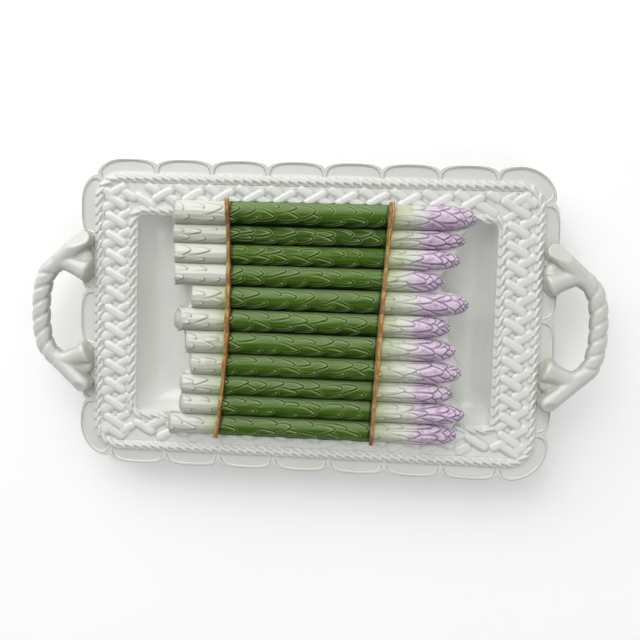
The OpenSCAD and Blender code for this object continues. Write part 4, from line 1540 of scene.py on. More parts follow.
@dataclass
class Spears:
    """The eleven stalks and their buds; a tuple of eleven has one value a spear, back first."""

    step: float = 0.42
    columns: int = 54
    under: int = 8
    bud_rings: int = 110
    bud_power: float = 4.2
    unroll: float = 0.86
    sideways: float = 0.6
    ribs: tuple[float, float] = (0.10, 2.4)
    over: float = 0.85
    cap: float = 1.4
    heart: float = 0.4
    bracts: tuple[float, float] = (13.2, 14.8)
    bract: tuple[float, float] = (14.5, 6.4)
    bract_rise: float = 0.6
    scale_rise: float = 0.75
    leans: tuple[float, ...] = (4.6, 2.0, 2.4, 2.8, 3.0, 8.6, 3.4, 3.0, 3.4, 5.0, 4.0)
    spurs: tuple[float, ...] = (4.5, 0, 0, 0, 0, 6.5, 0, 0, 1.5, 3.0, 1.0)
    # Strength of each spear's painted sheen.
    painted_sheens: tuple[float, ...] = (0.85, 0.12, 0.25, 0.7, 0.9, 1.0, 0.95, 0.85, 0.85, 0.85, 1.0)
    bleeds: tuple[float, ...] = (0.35,) * 4 + (1.0,) * 7
    # Least painted shade over each spear; the second is shaded whole.
    painted_shade_floors: tuple[float, ...] = (0.0, 0.35) + (0.0,) * 9
    # Strength of the painted shade on each spear's front half.
    painted_front_shades: tuple[float, ...] = (1.0,) * 6 + (0.62,) * 4 + (0.3,)
    bleed_run: float = 24.0
    lilac_start: float = 58.0
    lilac_run: float = 18.0
    # Strength of the painted shadow beside each tie.
    tie_shade: float = 0.85
    bed_blend: float = 6.5
    bed_inset: float = 4.0
    bed_draft: float = 0.2
    seed: int = 11

    def masks(self, i: int, x: Array, y: Array, share: Array) -> dict[str, Array]:
        """Work out where the glazes of a spear lie, and where its painted sheen and painted shade
        lie.

        Args:
            i: Number of the spear.
            x: Places along.
            y: Places across.
            share: Places across as a share of the half width.

        Returns:
            The masks by name.
        """
        places = np.column_stack([x.ravel(), y.ravel()])
        wobble = wave_noise(places, 11, 40 + i).reshape(x.shape)
        left, right = BUNDLE.tie_x(End.LEFT, y), BUNDLE.tie_x(End.RIGHT, y)
        green = smooth_step(x - left, -0.6, 0.8) * smooth_step(right - x, -0.6, 0.8)
        before = smooth_step(x - left + 2.5 * wobble, -self.bleed_run, 4) * self.bleeds[i]
        after = 1 - smooth_step(x - right + 2.5 * wobble, 0, self.bleed_run)
        tint = np.where(x < 0, before ** 1.6, after ** 1.3 * 0.9)
        start = self.lilac_start + 0.4 * (BUNDLE.tip_x(i) - 90)
        lilac = smooth_step(x + 3.5 * wobble, start, start + self.lilac_run)
        # Painted shade: dark at the back crease and growing over each ridge's front half.
        valley = np.where(share > 0, 0.8 * smooth_step(share, 0.9, 1.02),
                          self.painted_front_shades[i] * smooth_step(-share, 0.15, 1.0))
        # A whole spear painted in shade where it lies in shadow.
        valley = np.maximum(valley, self.painted_shade_floors[i])
        # Painted sheen on the back half of each ridge.
        back = smooth_step(share, -0.1, 0.6) * (1 - valley) * self.painted_sheens[i]
        # Painted shadow of the ties on the green beside them.
        shade = self.tie_shade * (np.exp(-((x - left - 2.4) / 0.9) ** 2)
                                  + np.exp(-((right - 2.2 - x) / 0.8) ** 2))
        valley = np.maximum(valley, shade * green)
        return {"green": green, "tint": tint, "lilac": lilac, "valley": valley, "back": back}

    def stalk_leaves(self, i: int, rng: np.random.Generator) -> list[Leaf]:
        """Spread the bracts of one stalk in two staggered rows.

        Args:
            i: Number of the spear.
            rng: Source of their small differences.

        Returns:
            The bracts, from the bud's end down.
        """
        width = BUNDLE.spear_w(i)
        leaves = []
        for row, pitch in zip((1, -1), self.bracts):
            tip = BUNDLE.butt_x(i) + rng.uniform(4, pitch)
            while tip < BUNDLE.bud_x(i) + 4:
                place = tip + rng.uniform(-2.5, 2.5)
                tip += pitch
                if any(abs(place - float(BUNDLE.tie_x(end, np.array(BUNDLE.spear_y(i))))) < 3
                       for end in End):
                    continue
                pale = not -65 < place < 50
                open_side = -row if rng.uniform() < (0.75 if pale else 0.45) else 0
                leaves.append(Leaf(tip=place, middle=row * width * rng.uniform(0.10, 0.26),
                                   length=self.bract[0] * rng.uniform(0.8, 1.2),
                                   width=self.bract[1] * width / 17 * rng.uniform(0.8, 1.15),
                                   rise=self.bract_rise, turn=rng.uniform(-0.12, 0.12),
                                   bend=row * rng.uniform(-0.6, 2.0), open_side=open_side))
        return sorted(leaves, key=lambda leaf: -leaf.tip)

    def stalk(self, i: int) -> bpy.types.Object:
        """Make one stalk with its bracts and its cut butt.

        Args:
            i: Number of the spear.

        Returns:
            The piece.
        """
        width, crest, land = BUNDLE.spear_w(i), BUNDLE.crest(i), BUNDLE.land(i)
        x0, x1 = self.left_end(i), BUNDLE.bud_x(i) + 1
        rng = np.random.default_rng(self.seed + i)
        across = -np.cos(np.linspace(0, math.pi, self.columns)) * width / 2
        arch = BUNDLE.arch(i, across / (width / 2))
        xs = np.arange(x0 + self.cap, x1, self.step)
        along, side = np.meshgrid(xs, across, indexing="ij")
        girth = side / (width / 2)
        unrolled = np.sign(side) * (width / 2) * np.arcsin(np.clip(np.abs(girth), 0, 1))
        unrolled *= self.unroll
        scales = self.bud_leaves(i, np.random.default_rng(self.seed + 30 + i))
        leaves = [leaf for leaf in scales if leaf.tip - leaf.length < x1]
        leaves += self.stalk_leaves(i, rng)
        relief, groove, edge = Relief(along, unrolled).of(leaves)
        places = np.column_stack([along.ravel(), side.ravel()])
        wave = wave_noise(places, 30, 90 + i, 2).reshape(along.shape) * 0.22
        ribs = self.ribs[0] * np.sin(unrolled * self.ribs[1] + wave * 6)
        upward = np.sqrt(np.clip(1 - girth ** 2, 0, 1)) + 0.15
        even = 1 - smooth_step(along, x1 - 7, x1 - 1)
        lift = (relief + (wave + ribs) * even) * self.side_fade(girth)
        y = side + lift * girth * self.sideways
        z = np.minimum(np.tile(arch, (len(xs), 1)) + lift * upward, land + crest + self.over)
        top = np.stack([along, BUNDLE.spear_y(i) + y, z], axis=2)
        grid = self.closed(i, top, np.full(len(xs), width / 2), land - 1.2)
        low = np.linspace(1, -1, self.under)
        rim = np.sqrt(np.clip(1 - np.concatenate([across / (width / 2), low]) ** 2, 0, 1))
        heights = np.where(np.arange(len(rim)) < self.columns, 0.45 + 0.55 * rim,
                           0.45 - 0.45 * rim)
        flare = 0.018 * self.leans[i] * np.exp(-(grid[:, :, 0] - x0 - self.cap) / 2.5)
        grid[:, :, 1] += flare * (grid[:, :, 1] - BUNDLE.spear_y(i))
        caps = self.butt(i, grid[0], heights)
        fade = 1 - smooth_step(grid[:, :, 0] - x0, 0, 14)
        grid[:, :, 0] += self.leans[i] * heights[None] * fade
        last = np.tile([x1, BUNDLE.spear_y(i), land + crest * self.heart], (1, len(rim), 1))
        rows = np.concatenate([caps, grid, last], axis=0)
        obj = grid_object(f"stalk_{i + 1:02d}", rows, flip=True)
        masks = self.masks(i, rows[:, :, 0], rows[:, :, 1],
                           (rows[:, :, 1] - BUNDLE.spear_y(i)) / (width / 2))
        for name, values, column in (("groove", groove, 2), ("edge", edge, 3)):
            masks[name] = self.padded(values, len(caps), 1)
            masks[name][:len(caps)] = np.array(BUTT)[:, column, None]
        return self.glazed(obj, 6, masks, STALK, f"spear_{i + 1:02d}")

    def left_end(self, i: int) -> float:
        """Left end of a stalk with its spur."""
        return BUNDLE.butt_x(i) - self.spurs[i]

    def butt(self, i: int, first: Array, heights: Array) -> Array:
        """Close a stalk's left end with its leaning, hollowed cut.

        Args:
            i: Number of the spear.
            first: The stalk's first ring.
            heights: Height of each point of a ring, from 0 at the foot to 1 on top.

        Returns:
            The rings of the cut, from its middle out.
        """
        middle = np.array([0.0, BUNDLE.spear_y(i),
                           BUNDLE.land(i) + BUNDLE.crest(i) * self.heart])
        rings = []
        for size, place, *_ in BUTT:
            ring = middle + (first - middle) * [0, size, size]
            ring[:, 0] = (self.left_end(i) + place
                          + self.leans[i] * (0.5 + (heights - 0.5) * size))
            rings.append(ring)
        return np.array(rings)

    @staticmethod
    def side_fade(share: Array) -> Array:
        """Fade the relief out where a spear's sides go down into the creases."""
        return np.clip(1.3 * (1 - np.abs(share) ** 8), 0, 1)

    def closed(self, i: int, top: Array, half: Array, height: float) -> Array:
        """Close the skin over a spear with a flat underside.

        Args:
            i: Number of the spear.
            top: Rings of points over the spear.
            half: Half the width at each ring.
            height: Height of the underside.

        Returns:
            Closed rings of points.
        """
        shape = (len(top), self.under)
        low = BUNDLE.spear_y(i) + half[:, None] * np.linspace(1, -1, self.under)
        bottom = [np.broadcast_to(top[:, :1, 0], shape), low, np.full(shape, height)]
        return np.concatenate([top, np.stack(bottom, axis=2)], axis=1)

    def padded(self, values: Array, before: int, after: int) -> Array:
        """Add empty rows and columns round a mask, for the caps and the underside."""
        return np.pad(values, ((before, after), (0, self.under)))

    @staticmethod
    def glazed(obj: bpy.types.Object, rounds: int, masks: dict[str, Array], glaze: Glaze,
               node: str) -> bpy.types.Object:
        """Store the masks of a stalk or bud, and dress it.

        Args:
            obj: The piece.
            rounds: How wide its hollows are compared.
            masks: The masks by name.
            glaze: Its finish.
            node: The solid that it replaces.

        Returns:
            The piece.
        """
        mark_hollows(obj, rounds, depth=0.5)
        for name, values in masks.items():
            set_attribute(obj.data, name, values)
        return GLAZES.dress(obj, glaze, node)

    def bud_leaves(self, i: int, rng: np.random.Generator) -> list[Leaf]:
        """Spread the scales of one bud, long at its foot and small at its tip.

        Args:
            i: Number of the spear.
            rng: Source of their small differences.

        Returns:
            The scales, from the tip down.
        """
        w = BUNDLE.spear_w(i)
        length = BUNDLE.bud_length
        flip = 1 if rng.uniform() < 0.5 else -1
        leaves = []
        for tip, middle, long, wide in SCALES:
            leaves.append(Leaf(tip=BUNDLE.bud_x(i) + (tip + rng.uniform(-0.035, 0.035)) * length,
                               middle=flip * (middle + rng.uniform(-0.05, 0.05)) * w,
                               length=long * length,
                               width=wide * w * 1.1 * rng.uniform(0.85, 1.15),
                               rise=self.scale_rise,
                               turn=flip * rng.uniform(-0.2, 0.2) - middle * flip * 0.3 * tip))
        return sorted(leaves, key=lambda leaf: -leaf.tip)

    def bud(self, i: int) -> bpy.types.Object:
        """Make one bud with its scales.

        Args:
            i: Number of the spear.

        Returns:
            The piece.
        """
        width, land = BUNDLE.spear_w(i), BUNDLE.land(i)
        rng = np.random.default_rng(self.seed + 30 + i)
        length = BUNDLE.bud_length
        t = np.sin(np.linspace(0, math.pi / 2, self.bud_rings))
        radius = width / 2 * np.clip(1 - t ** self.bud_power, 0, 1) ** 0.5
        a = np.linspace(0, math.pi, self.columns)
        xs = BUNDLE.bud_x(i) + t * length
        share = -np.cos(a)
        along = np.broadcast_to(xs[:, None], (len(xs), len(a)))
        side = radius[:, None] * share[None]
        stretch = (self.unroll - 0.24 * smooth_step(t, 0, 0.5))[:, None]
        unrolled = width / 2 * (a - math.pi / 2)[None] * np.clip(
            radius[:, None] / (width / 2), 0.3, 1) * stretch
        unrolled = np.broadcast_to(unrolled, along.shape)
        relief, groove, edge = Relief(along, unrolled, cut=0.6, point=0.62).of(
            self.bud_leaves(i, rng))
        blend = smooth_step(t, 0, 0.3)[:, None]
        size = radius[:, None] / (width / 2) * np.ones((1, len(a)))
        arch = BUNDLE.arch(i, np.broadcast_to(share, along.shape), size)
        arch = arch + blend * 0.04 * width * size * np.sin(a)[None]
        lift = relief * np.clip(2.5 * radius[:, None] / width, 0, 1) * self.side_fade(share[None])
        y = side + lift * share[None] * self.sideways
        z = arch + lift * (np.sin(a)[None] + 0.15)
        top = np.stack([along, BUNDLE.spear_y(i) + y, np.maximum(z, land)], axis=2)
        grid = self.closed(i, top, radius, land - 0.5)
        foot = grid[0].copy()
        foot[:, 1:] = [BUNDLE.spear_y(i), land + 1]
        rows = np.concatenate([foot[None], grid], axis=0)
        obj = grid_object(f"bud_{i + 1:02d}_scales", rows, flip=True)
        places = self.padded(np.broadcast_to(share, along.shape) * 0.9, 1, 0)
        masks = self.masks(i, rows[:, :, 0], rows[:, :, 1], places)
        masks.update(groove=self.padded(groove, 1, 0), edge=self.padded(edge, 1, 0))
        return self.glazed(obj, 5, masks, BUD, f"bud_{i + 1:02d}")

    def bed(self) -> bpy.types.Object:
        """Soften the raised bed under the spears, and draw its right end in under the buds.

        Returns:
            The piece.
        """
        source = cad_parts["bundle_bed"]
        obj = linked("bed", source.data.copy())
        weld = obj.modifiers.new("Weld", "WELD")
        weld.merge_threshold = 0.01 * MM
        obj = softened(baked(obj), 1.2, 7)
        points = place_of(obj.data)
        middles = np.array([BUNDLE.spear_y(i) for i in range(BUNDLE.count)])
        tips = np.array([BUNDLE.tip_x(i) for i in range(BUNDLE.count)])
        weights = np.exp(-((points[:, 1, None] - middles[None]) / self.bed_blend) ** 2)
        end = (weights @ tips) / weights.sum(axis=1) - self.bed_inset
        end += self.bed_draft * np.clip(SIZES.border_h + 6 - points[:, 2], 0, 20)
        points[:, 0] = np.where(points[:, 0] > 0, np.minimum(points[:, 0], end), points[:, 0])
        set_place(obj.data, averaged(obj.data, points, 12))
        mark_hollows(obj, rounds=6, depth=3.0)
        return GLAZES.dress(obj, WHITE, "bundle_bed")

    def build(self) -> None:
        """Make the bed, the stalks and the buds."""
        self.bed()
        for i in range(BUNDLE.count):
            self.stalk(i)
            self.bud(i)


# ---------------------------------------------------------------- ties


@dataclass
class Ties:
    """The two raffia ties, each of three fibres."""

    fibre: float = 0.7
    spread: float = 0.92
    stiffness: float = 9.0
    lift: float = 0.5
    sunk: float = 0.4
    end_gap: float = 0.9
    least: float = 0.7
    blur: float = 0.8
    bob: tuple[float, float] = (0.3, 17.0)
    samples: int = 700
    wander: float = 0.7
    seed: float = 3.0
    voxel: float = 0.24
    loops: dict[End, float] = field(default_factory=lambda: {End.LEFT: 0.0, End.RIGHT: 0.8})
    loop_place: tuple[float, float] = (8.0, 4.2)

    def course(self, end: End, offset: float, phase: float) -> Array:
        """Give the way of one fibre over the bundle.

        Args:
            end: Which tie.
            offset: Distance from the tie's middle.
            phase: Phase of its slow wander.

        Returns:
            Points along the fibre.
        """
        first, last = BUNDLE.edges(0)[1], BUNDLE.edges(BUNDLE.count - 1)[0]
        y = np.linspace(first + self.end_gap, last - self.end_gap, self.samples)
        ridge = np.full(len(y), SIZES.border_h)
        for i in range(BUNDLE.count):
            share = (y - BUNDLE.spear_y(i)) / (BUNDLE.spear_w(i) / 2)
            ridge = np.where(np.abs(share) <= 1, BUNDLE.arch(i, share), ridge)
        gap = y[:, None] - y[None]
        z = (ridge[None] - gap ** 2 / (2 * self.stiffness)).max(axis=1) + self.lift
        weights = np.exp(-(gap / self.blur) ** 2)
        z = (weights @ z) / weights.sum(axis=1) - self.sunk * (offset == 0)
        z = np.maximum(z, SIZES.border_h + self.least)
        down, run = self.loop_place
        loop = self.loops[end] * np.exp(-((first - down - y) / run) ** 2)
        x = BUNDLE.tie_x(end, y) + offset * (1 + loop)
        x += self.bob[0] * np.sin(y / self.bob[1] + phase)
        return np.column_stack([x, y, z])

    def build(self) -> None:
        """Make both ties."""
        for k, end in enumerate(End):
            lines = [self.course(end, self.spread * m, 1.7 * m + k) for m in (-1, 0, 1)]
            path = path_object(f"raffia_{end.name.lower()}", lines, False)
            tie = TREES["fibres"].run(path, Fibre_Radius=self.fibre * MM, Seed=self.seed + k,
                                      Wander=self.wander * MM, Material=GLAZES.material(TIE))
            tie = softened(tie, self.voxel, 1)
            mark_hollows(tie, rounds=6, depth=0.22)
            points = place_of(tie.data)
            offset = (points[:, 0] - BUNDLE.tie_x(end, points[:, 1])) * -end.value
            down = BUNDLE.edges(0)[1] - points[:, 1]
            # Painted shade on one side of each tie.
            set_attribute(tie.data, "shade", smooth_step(offset, 0.1, 1.5))
            burnt = (smooth_step(down, 7, 9.5) * (1 - smooth_step(down, 22, 42))
                     if end is End.LEFT else smooth_step(down, BUNDLE.width - 8, BUNDLE.width - 5))
            set_attribute(tie.data, "burnt", burnt)
            GLAZES.dress(tie, TIE, f"tie_{end.name.lower()}")


# ---------------------------------------------------------------- handles


@dataclass(frozen=True)
class Web:
    """Clay that fills a corner between two places, told from the border's end and the middle."""

    first: tuple[float, float, float]
    last: tuple[float, float, float]
    wide: tuple[float, float]
    high: tuple[float, float]


@dataclass
class Handles:
    """The twisted loop handles with the cut stubs at their roots."""

    reach: float = 45.0
    span: float = 72.0
    bar: float = 13.2
    twist: float = 21.5
    groove: float = 1.1
    groove_fade: tuple[float, float] = (0.68, 0.92)
    bar_rise: float = 2.0
    root_rise: float = 3.6
    root_swell: float = 2.1
    foot_flare: float = 1.6
    shares: tuple[tuple[float, float], ...] = ((1, 0), (0.985, 0.366), (0.885, 0.738),
                                               (0.62, 0.973), (0.31, 0.88), (0.05, 0.775))
    fork_share: float = 2.5
    stub: tuple[float, float] = (12.0, 12.4)
    stub_inset: float = 1.0
    stub_lift: float = 7.0
    stub_face: float = 8.5
    blunt: float = 2.2
    face_tilt: tuple[float, float] = (12.0, 23.0)
    nose: float = 3.4
    clear: float = 0.12
    wobble: float = 0.035
    rod_grid: tuple[int, int] = (260, 40)
    stub_sides: int = 48
    web_grid: tuple[int, int] = (24, 32)
    seat: tuple[float, float] = (13.0, 1.5)
    voxel: float = 0.55
    webs: tuple[Web, ...] = (Web((27.0, 34.5, 2.0), (5.0, 39.5, 1.2), (3.0, 7.0), (3.5, 5.0)),
                             Web((6.4, 22.0, -1.0), (6.4, 45.0, -0.4), (6.4, 6.4), (5.6, 7.2)))

    def knot(self, k: int) -> Array:
        """Give one control point of the left handle's middle line.

        Args:
            k: Its number, from the bar's middle and below 0 to the front.

        Returns:
            The point.
        """
        s = self.shares[min(abs(k), len(self.shares) - 1)]
        q = -1 if k < 0 else 1
        rise = self.bar_rise + (self.root_rise - self.bar_rise) * float(
            smooth_step(np.array(1 - s[0] / 0.6), 0, 1))
        return np.array([-SIZES.border[0] / 2 - s[0] * (self.reach - self.bar / 2),
                         q * s[1] * self.span / 2, SIZES.border_h + rise])

    def point(self, t: float) -> Array:
        """Give a point of the middle line, smoothed through its control points.

        Args:
            t: Its place, where each control point lies at its number.

        Returns:
            The point.
        """
        n = len(self.shares) - 1
        k = min(max(math.floor(t), -n), n - 1)
        u = t - k
        b, c = self.knot(k), self.knot(k + 1)
        a = self.knot(k - 1) if k > -n else 2 * b - c
        d = self.knot(k + 2) if k < n - 1 else 2 * c - b
        return (2 * b + (c - a) * u + (2 * a - 5 * b + 4 * c - d) * u * u
                + (3 * b - a - 3 * c + d) * u ** 3) / 2

    def rod(self) -> tuple[Array, Array]:
        """Sweep the twisted bar and its arms.

        Returns:
            Vertices and faces.
        """
        n, (rings, sides) = len(self.shares) - 1, self.rod_grid
        path = np.array([self.point(t) for t in np.linspace(-n, n, rings)])
        run = np.concatenate([[0], np.cumsum(np.linalg.norm(np.diff(path, axis=0), axis=1))])
        way = np.gradient(path, axis=0)
        way /= np.linalg.norm(way, axis=1)[:, None]
        out, up = beside(way)
        share = (-path[:, 0] - SIZES.border[0] / 2) / (self.reach - self.bar / 2)
        cut = self.groove * smooth_step(share, *self.groove_fade)
        root = self.root_swell * smooth_step(1 - share / 0.4, 0, 1)
        a = np.linspace(0, 2 * math.pi, sides, endpoint=False)
        turn = 2 * math.pi * run / self.twist
        lens = ((1 + np.cos(2 * (a[None] + turn[:, None]))) / 2) ** 5
        swell = self.wobble * wave_noise(path, 26, 5, 2)
        end = np.minimum(run, run[-1] - run)
        nose = np.sqrt(np.clip(1 - (1 - np.clip(end / self.nose, 0, 1)) ** 2, 0.0, 1))
        radius = (self.bar / 2 - self.clear + root + swell)[:, None] * nose[:, None]
        radius = np.maximum(radius - cut[:, None] * lens, 0.05)
        points = (path[:, None] + radius[..., None] * (out[:, None] * np.cos(a)[None, :, None]
                                                        + up[:, None] * np.sin(a)[None, :, None]))
        foot = np.broadcast_to(path[:, None], points.shape).reshape(-1, 3)
        return self.footed(points.reshape(-1, 3), foot), grid_faces(rings, sides, False, True)

    def footed(self, points: Array, middle: Array) -> Array:
        """Spread the underside of what lies on the rim to a soft foot.

        Args:
            points: Points of a round bar.
            middle: The bar's middle beside each point.

        Returns:
            The moved points.
        """
        away = points - middle
        flat = np.hypot(away[:, 0], away[:, 1])
        radius = np.maximum(np.linalg.norm(away, axis=1), 0.01)
        drop = middle[:, 2] - SIZES.border_h + 1.0
        down = np.clip(-away[:, 2] / drop, 0, 1)
        wide = np.where(flat > 0.35 * radius, radius + self.foot_flare * down ** 2, flat / 0.35)
        size = np.where((away[:, 2] < 0) & (flat > 0.01), wide / np.maximum(flat, 0.01), 1.0)
        seated = smooth_step(SIZES.border[0] / 2 + 15 + points[:, 0], 0, 4)
        result = points.copy()
        result[:, :2] += away[:, :2] * ((size - 1) * seated)[:, None]
        return result

    def branch(self, side: int, front: bool) -> tuple[Array, Array]:
        """Make one cut stub that forks from the arm.

        Args:
            side: 1 for the back arm and -1 for the front one, on the left handle.
            front: Whether it ends at the plate's front, where the cut is blunter.

        Returns:
            Vertices and faces.
        """
        fork = len(self.shares) - 1 - self.fork_share
        root = self.point(fork)
        way = self.point(fork + 0.01) - self.point(fork - 0.01)
        turn, lift = math.atan2(way[1], way[0]), math.radians(self.stub_lift)
        run = -SIZES.border[0] / 2 - self.stub_inset - self.stub[0] / 2 - root[0]
        tip, neck = (size / 2 - self.clear for size in self.stub)
        length = run / math.cos(turn) / math.cos(lift) + tip
        way = np.array([math.cos(turn) * math.cos(lift), math.sin(turn) * math.cos(lift),
                        math.sin(lift)])
        out, up = beside(way)
        far = np.linspace(0, length - tip, 26)
        radii = np.interp(far, [0, self.bar / 2, length - tip],
                          [self.bar / 2 - self.groove, neck, tip])
        a = np.linspace(0.1, math.pi / 2 - 0.02, 14)
        far = np.concatenate([[0], far, length - tip * (1 - np.sin(a))])
        radii = np.concatenate([[0.02], radii, tip * np.cos(a)])
        a = np.linspace(0, 2 * math.pi, self.stub_sides, endpoint=False)
        middle = root + way * far[:, None]
        rows = middle[:, None] + radii[:, None, None] * (
            out * np.cos(a)[None, :, None] + up * np.sin(a)[None, :, None])
        middle = np.broadcast_to(middle[:, None], rows.shape).reshape(-1, 3)
        rows = self.footed(rows.reshape(-1, 3), middle).reshape(rows.shape)
        centre = root + way * (length - tip)
        dx, dy = rows[..., 0] - centre[0], rows[..., 1] - centre[1]
        beyond = dx * math.cos(turn) + dy * math.sin(turn)
        outer = dy * math.cos(turn) - dx * math.sin(turn)
        slopes = [math.tan(math.radians(tilt)) for tilt in self.face_tilt]
        face = self.stub_face + (self.blunt if front else 0.0)
        plane = SIZES.border_h + face - slopes[0] * beyond - slopes[1] * outer
        over = rows[..., 2] - plane
        rows[..., 2] = np.where(over > 0, plane - 0.5 * smooth_step(over, 0.15, 0.9),
                                rows[..., 2])
        return self.arm_part(rows, side)

    @staticmethod
    def arm_part(rows: Array, side: int) -> tuple[Array, Array]:
        """Give a part of the back arm, or its mirror image on the front one.

        Args:
            rows: Rings of points round the part.
            side: 1 for the back arm and -1 for the front one.

        Returns:
            Vertices and faces.
        """
        points = rows.reshape(-1, 3) * [1, side, 1]
        faces = grid_faces(*rows.shape[:2], False, True)
        return points, faces if side > 0 else faces[:, ::-1]

    def filled(self, web: Web, side: int) -> tuple[Array, Array]:
        """Make one web of clay.

        Args:
            web: Where it lies.
            side: 1 for the back arm and -1 for the front one.

        Returns:
            Vertices and faces.
        """
        first, last = (np.array([-SIZES.border[0] / 2 - x, y, SIZES.border_h + z])
                       for x, y, z in (web.first, web.last))
        way = (last - first) / np.linalg.norm(last - first)
        out, up = beside(way)
        u = -np.cos(np.linspace(0.02, math.pi - 0.02, self.web_grid[0]))
        size = np.sqrt(np.clip(1 - np.abs(u) ** 3, 0, 1))
        wide = np.interp(u, [-1, 1], web.wide)
        high = np.interp(u, [-1, 1], web.high)
        a = np.linspace(0, 2 * math.pi, self.web_grid[1], endpoint=False)
        middle = (first + last) / 2 + (last - first) / 2 * u[:, None]
        rows = (middle[:, None] + out * ((size * wide)[:, None] * np.cos(a))[..., None]
                + up * ((size * high)[:, None] * np.sin(a))[..., None])
        return self.arm_part(rows, side)

    def build(self) -> None:
        """Make both handles; the right one is the left one turned round."""
        for end in End:
            parts = [self.rod()]
            for side in (1, -1):
                parts.append(self.branch(side, side == end.value))
                parts += [self.filled(web, side) for web in self.webs]
            points = np.concatenate([part for part, _ in parts])
            starts = np.cumsum([0] + [len(part) for part, _ in parts])
            faces = np.concatenate([quads + start for (_, quads), start in zip(parts, starts)])
            over_rim, sunk = self.seat
            points[:, 2] = np.where(-points[:, 0] < SIZES.border[0] / 2 + over_rim,
                                    np.maximum(points[:, 2], SIZES.border_h - sunk), points[:, 2])
            if end is End.RIGHT:
                points = points * [-1, -1, 1]
            name = end.name.lower()
            obj = softened(new_object(f"grip_{name}", points, faces), self.voxel, 6)
            # Painted shade over the whole handle, strongest on its steep sides.
            mark_hollows(obj, rounds=8, depth=0.4, sides=0.8, top=0.42)
            GLAZES.dress(obj, WHITE, f"handle_{name}", f"stub_{name}_back", f"stub_{name}_front")


# ---------------------------------------------------------------- light and camera


@dataclass(frozen=True)
class Lamp:
    """A soft lamp: where it hangs and its width in metres, and its power in watts."""

    name: str
    place: tuple[float, float, float]
    size: float
    power: float


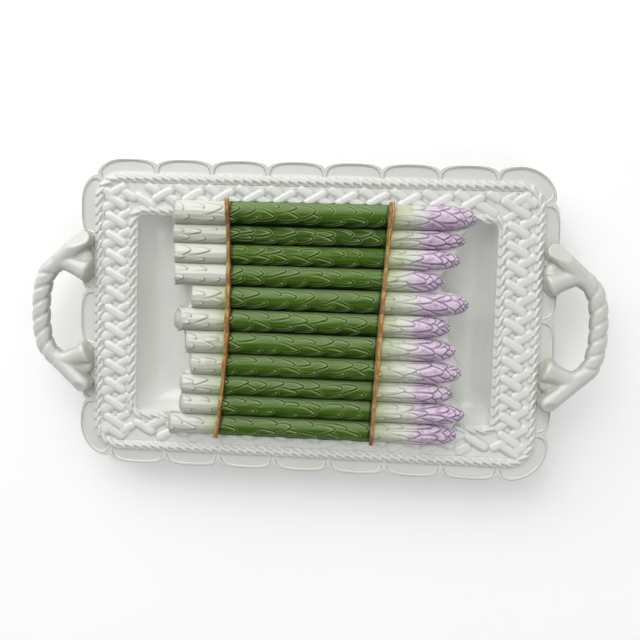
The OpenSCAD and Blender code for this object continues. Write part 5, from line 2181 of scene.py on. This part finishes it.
@dataclass
class Studio:
    """The pale floor, the soft light and the camera over the plate."""

    lamps: tuple[Lamp, ...] = (Lamp("window", (-0.7, 1.05, 0.8), 2.0, 17.0),
                               Lamp("fill", (0.7, -0.8, 1.2), 1.2, 3.0))
    target: tuple[float, float, float] = (0.0, 0.0, 0.03)
    floor_half: float = 4000.0
    floor_glow: float = 0.22
    shade: Colour = (0.24, 0.24, 0.24)
    daylight: Colour = (0.88, 0.88, 0.88)
    lens: float = 45.0
    camera_place: tuple[float, float, float] = (50.9, 45.4, 582.7)
    camera_axes: tuple[tuple[float, ...], ...] = ((0.996, 0.0294, -0.0842),
                                                  (-0.0361, 0.9962, -0.0789),
                                                  (0.0816, 0.0816, 0.9933))

    @staticmethod
    def seen(n: Nodes) -> bpy.types.NodeSocket:
        """Tell where the pale background is seen, straight, mirrored or through glass.

        Args:
            n: The nodes of the floor's or the world's tree.

        Returns:
            A socket that is 1 there and 0 elsewhere.
        """
        rays = n.add("ShaderNodeLightPath").outputs
        both = n.math("ADD", rays["Is Camera Ray"], rays["Is Glossy Ray"])
        return n.math("ADD", both, rays["Is Transmission Ray"], clamp=True)

    def floor(self) -> None:
        """Lay the pale floor that the plate stands on."""
        corners = np.array([[-1, -1, 0], [1, -1, 0], [1, 1, 0], [-1, 1, 0]]) * self.floor_half
        obj = new_object("floor", corners, np.array([[0, 1, 2, 3]]))
        material = bpy.data.materials.new("floor_paper")
        material.use_nodes = True
        n = Nodes(material.node_tree)
        shader = material.node_tree.nodes["Principled BSDF"]
        place = n.add("ShaderNodeTexCoord").outputs["Object"]
        tone = n.mix(n.ramp(n.noise(place, 300, 2), 0.3, 0.7), (0.95, 0.95, 0.95),
                     (0.97, 0.97, 0.97))
        glow = n.math("MULTIPLY", self.seen(n), self.floor_glow)
        n.fill(shader, {"Base Color": tone, "Roughness": 0.9, "Specular IOR Level": 0.1,
                        "Emission Color": (1, 1, 1, 1), "Emission Strength": glow})
        obj.data.materials.append(material)

    def hang(self, lamp: Lamp) -> None:
        """Hang one soft lamp.

        Args:
            lamp: The lamp.
        """
        light = bpy.data.lights.new(lamp.name, "AREA")
        light.shape = "RECTANGLE"
        light.size, light.size_y = lamp.size, lamp.size * 0.7
        light.energy = lamp.power
        way = np.array(lamp.place) - np.array(self.target)
        way = way / np.linalg.norm(way)
        x = np.cross([0, 1, 0.001], way)
        x /= np.linalg.norm(x)
        linked(lamp.name, light).matrix_world = self.placed((x, np.cross(way, x), way),
                                                            lamp.place)

    @staticmethod
    def placed(axes: tuple[Array, ...], place: tuple[float, ...]) -> Matrix:
        """Make the matrix of a place, in metres, and three axes."""
        return Matrix([[*(axis[r] for axis in axes), place[r]] for r in range(3)] + [[0, 0, 0, 1]])

    def build(self) -> None:
        """Set up the floor, the lamps, the world and the camera."""
        self.floor()
        for lamp in self.lamps:
            self.hang(lamp)
        world = bpy.data.worlds.new("room")
        bpy.context.scene.world = world
        world.use_nodes = True
        n = Nodes(world.node_tree)
        back = world.node_tree.nodes["Background"]
        place = n.add("ShaderNodeTexCoord").outputs["Generated"]
        parts = n.add("ShaderNodeSeparateXYZ", {0: place})
        bright = n.math("MULTIPLY", n.ramp(parts.outputs["Y"], -0.2, 0.8), 0.95)
        side = n.math("MULTIPLY", n.ramp(parts.outputs["X"], -0.4, 1.0), 0.12)
        room = n.mix(n.math("ADD", bright, side), self.shade, self.daylight)
        n.join(n.mix(self.seen(n), room, (1, 1, 1)), back.inputs["Color"])
        camera = bpy.data.cameras.new("camera")
        camera.lens = self.lens
        camera.sensor_width = 36.0
        camera.clip_end = 20.0
        obj = linked("camera", camera)
        place = tuple(part * MM for part in self.camera_place)
        obj.matrix_world = self.placed(self.camera_axes, place)
        bpy.context.scene.camera = obj
        bpy.context.scene.view_settings.view_transform = "Standard"


def main() -> None:
    """Build the plate piece by piece, then the studio round it."""
    logging.basicConfig(level=logging.INFO, format="%(name)s: %(message)s")
    TREES.update(rope=RopeTree(), strips=StripTree(), fibres=FibreTree())
    Studio().build()
    dish = Dish()
    dish.body()
    dish.foot()
    LobedRim().build()
    Ropes().build()
    Weave().build()
    Spears().build()
    Ties().build()
    Handles().build()
    bpy.context.view_layer.update()


if __name__ == "__main__":
    main()
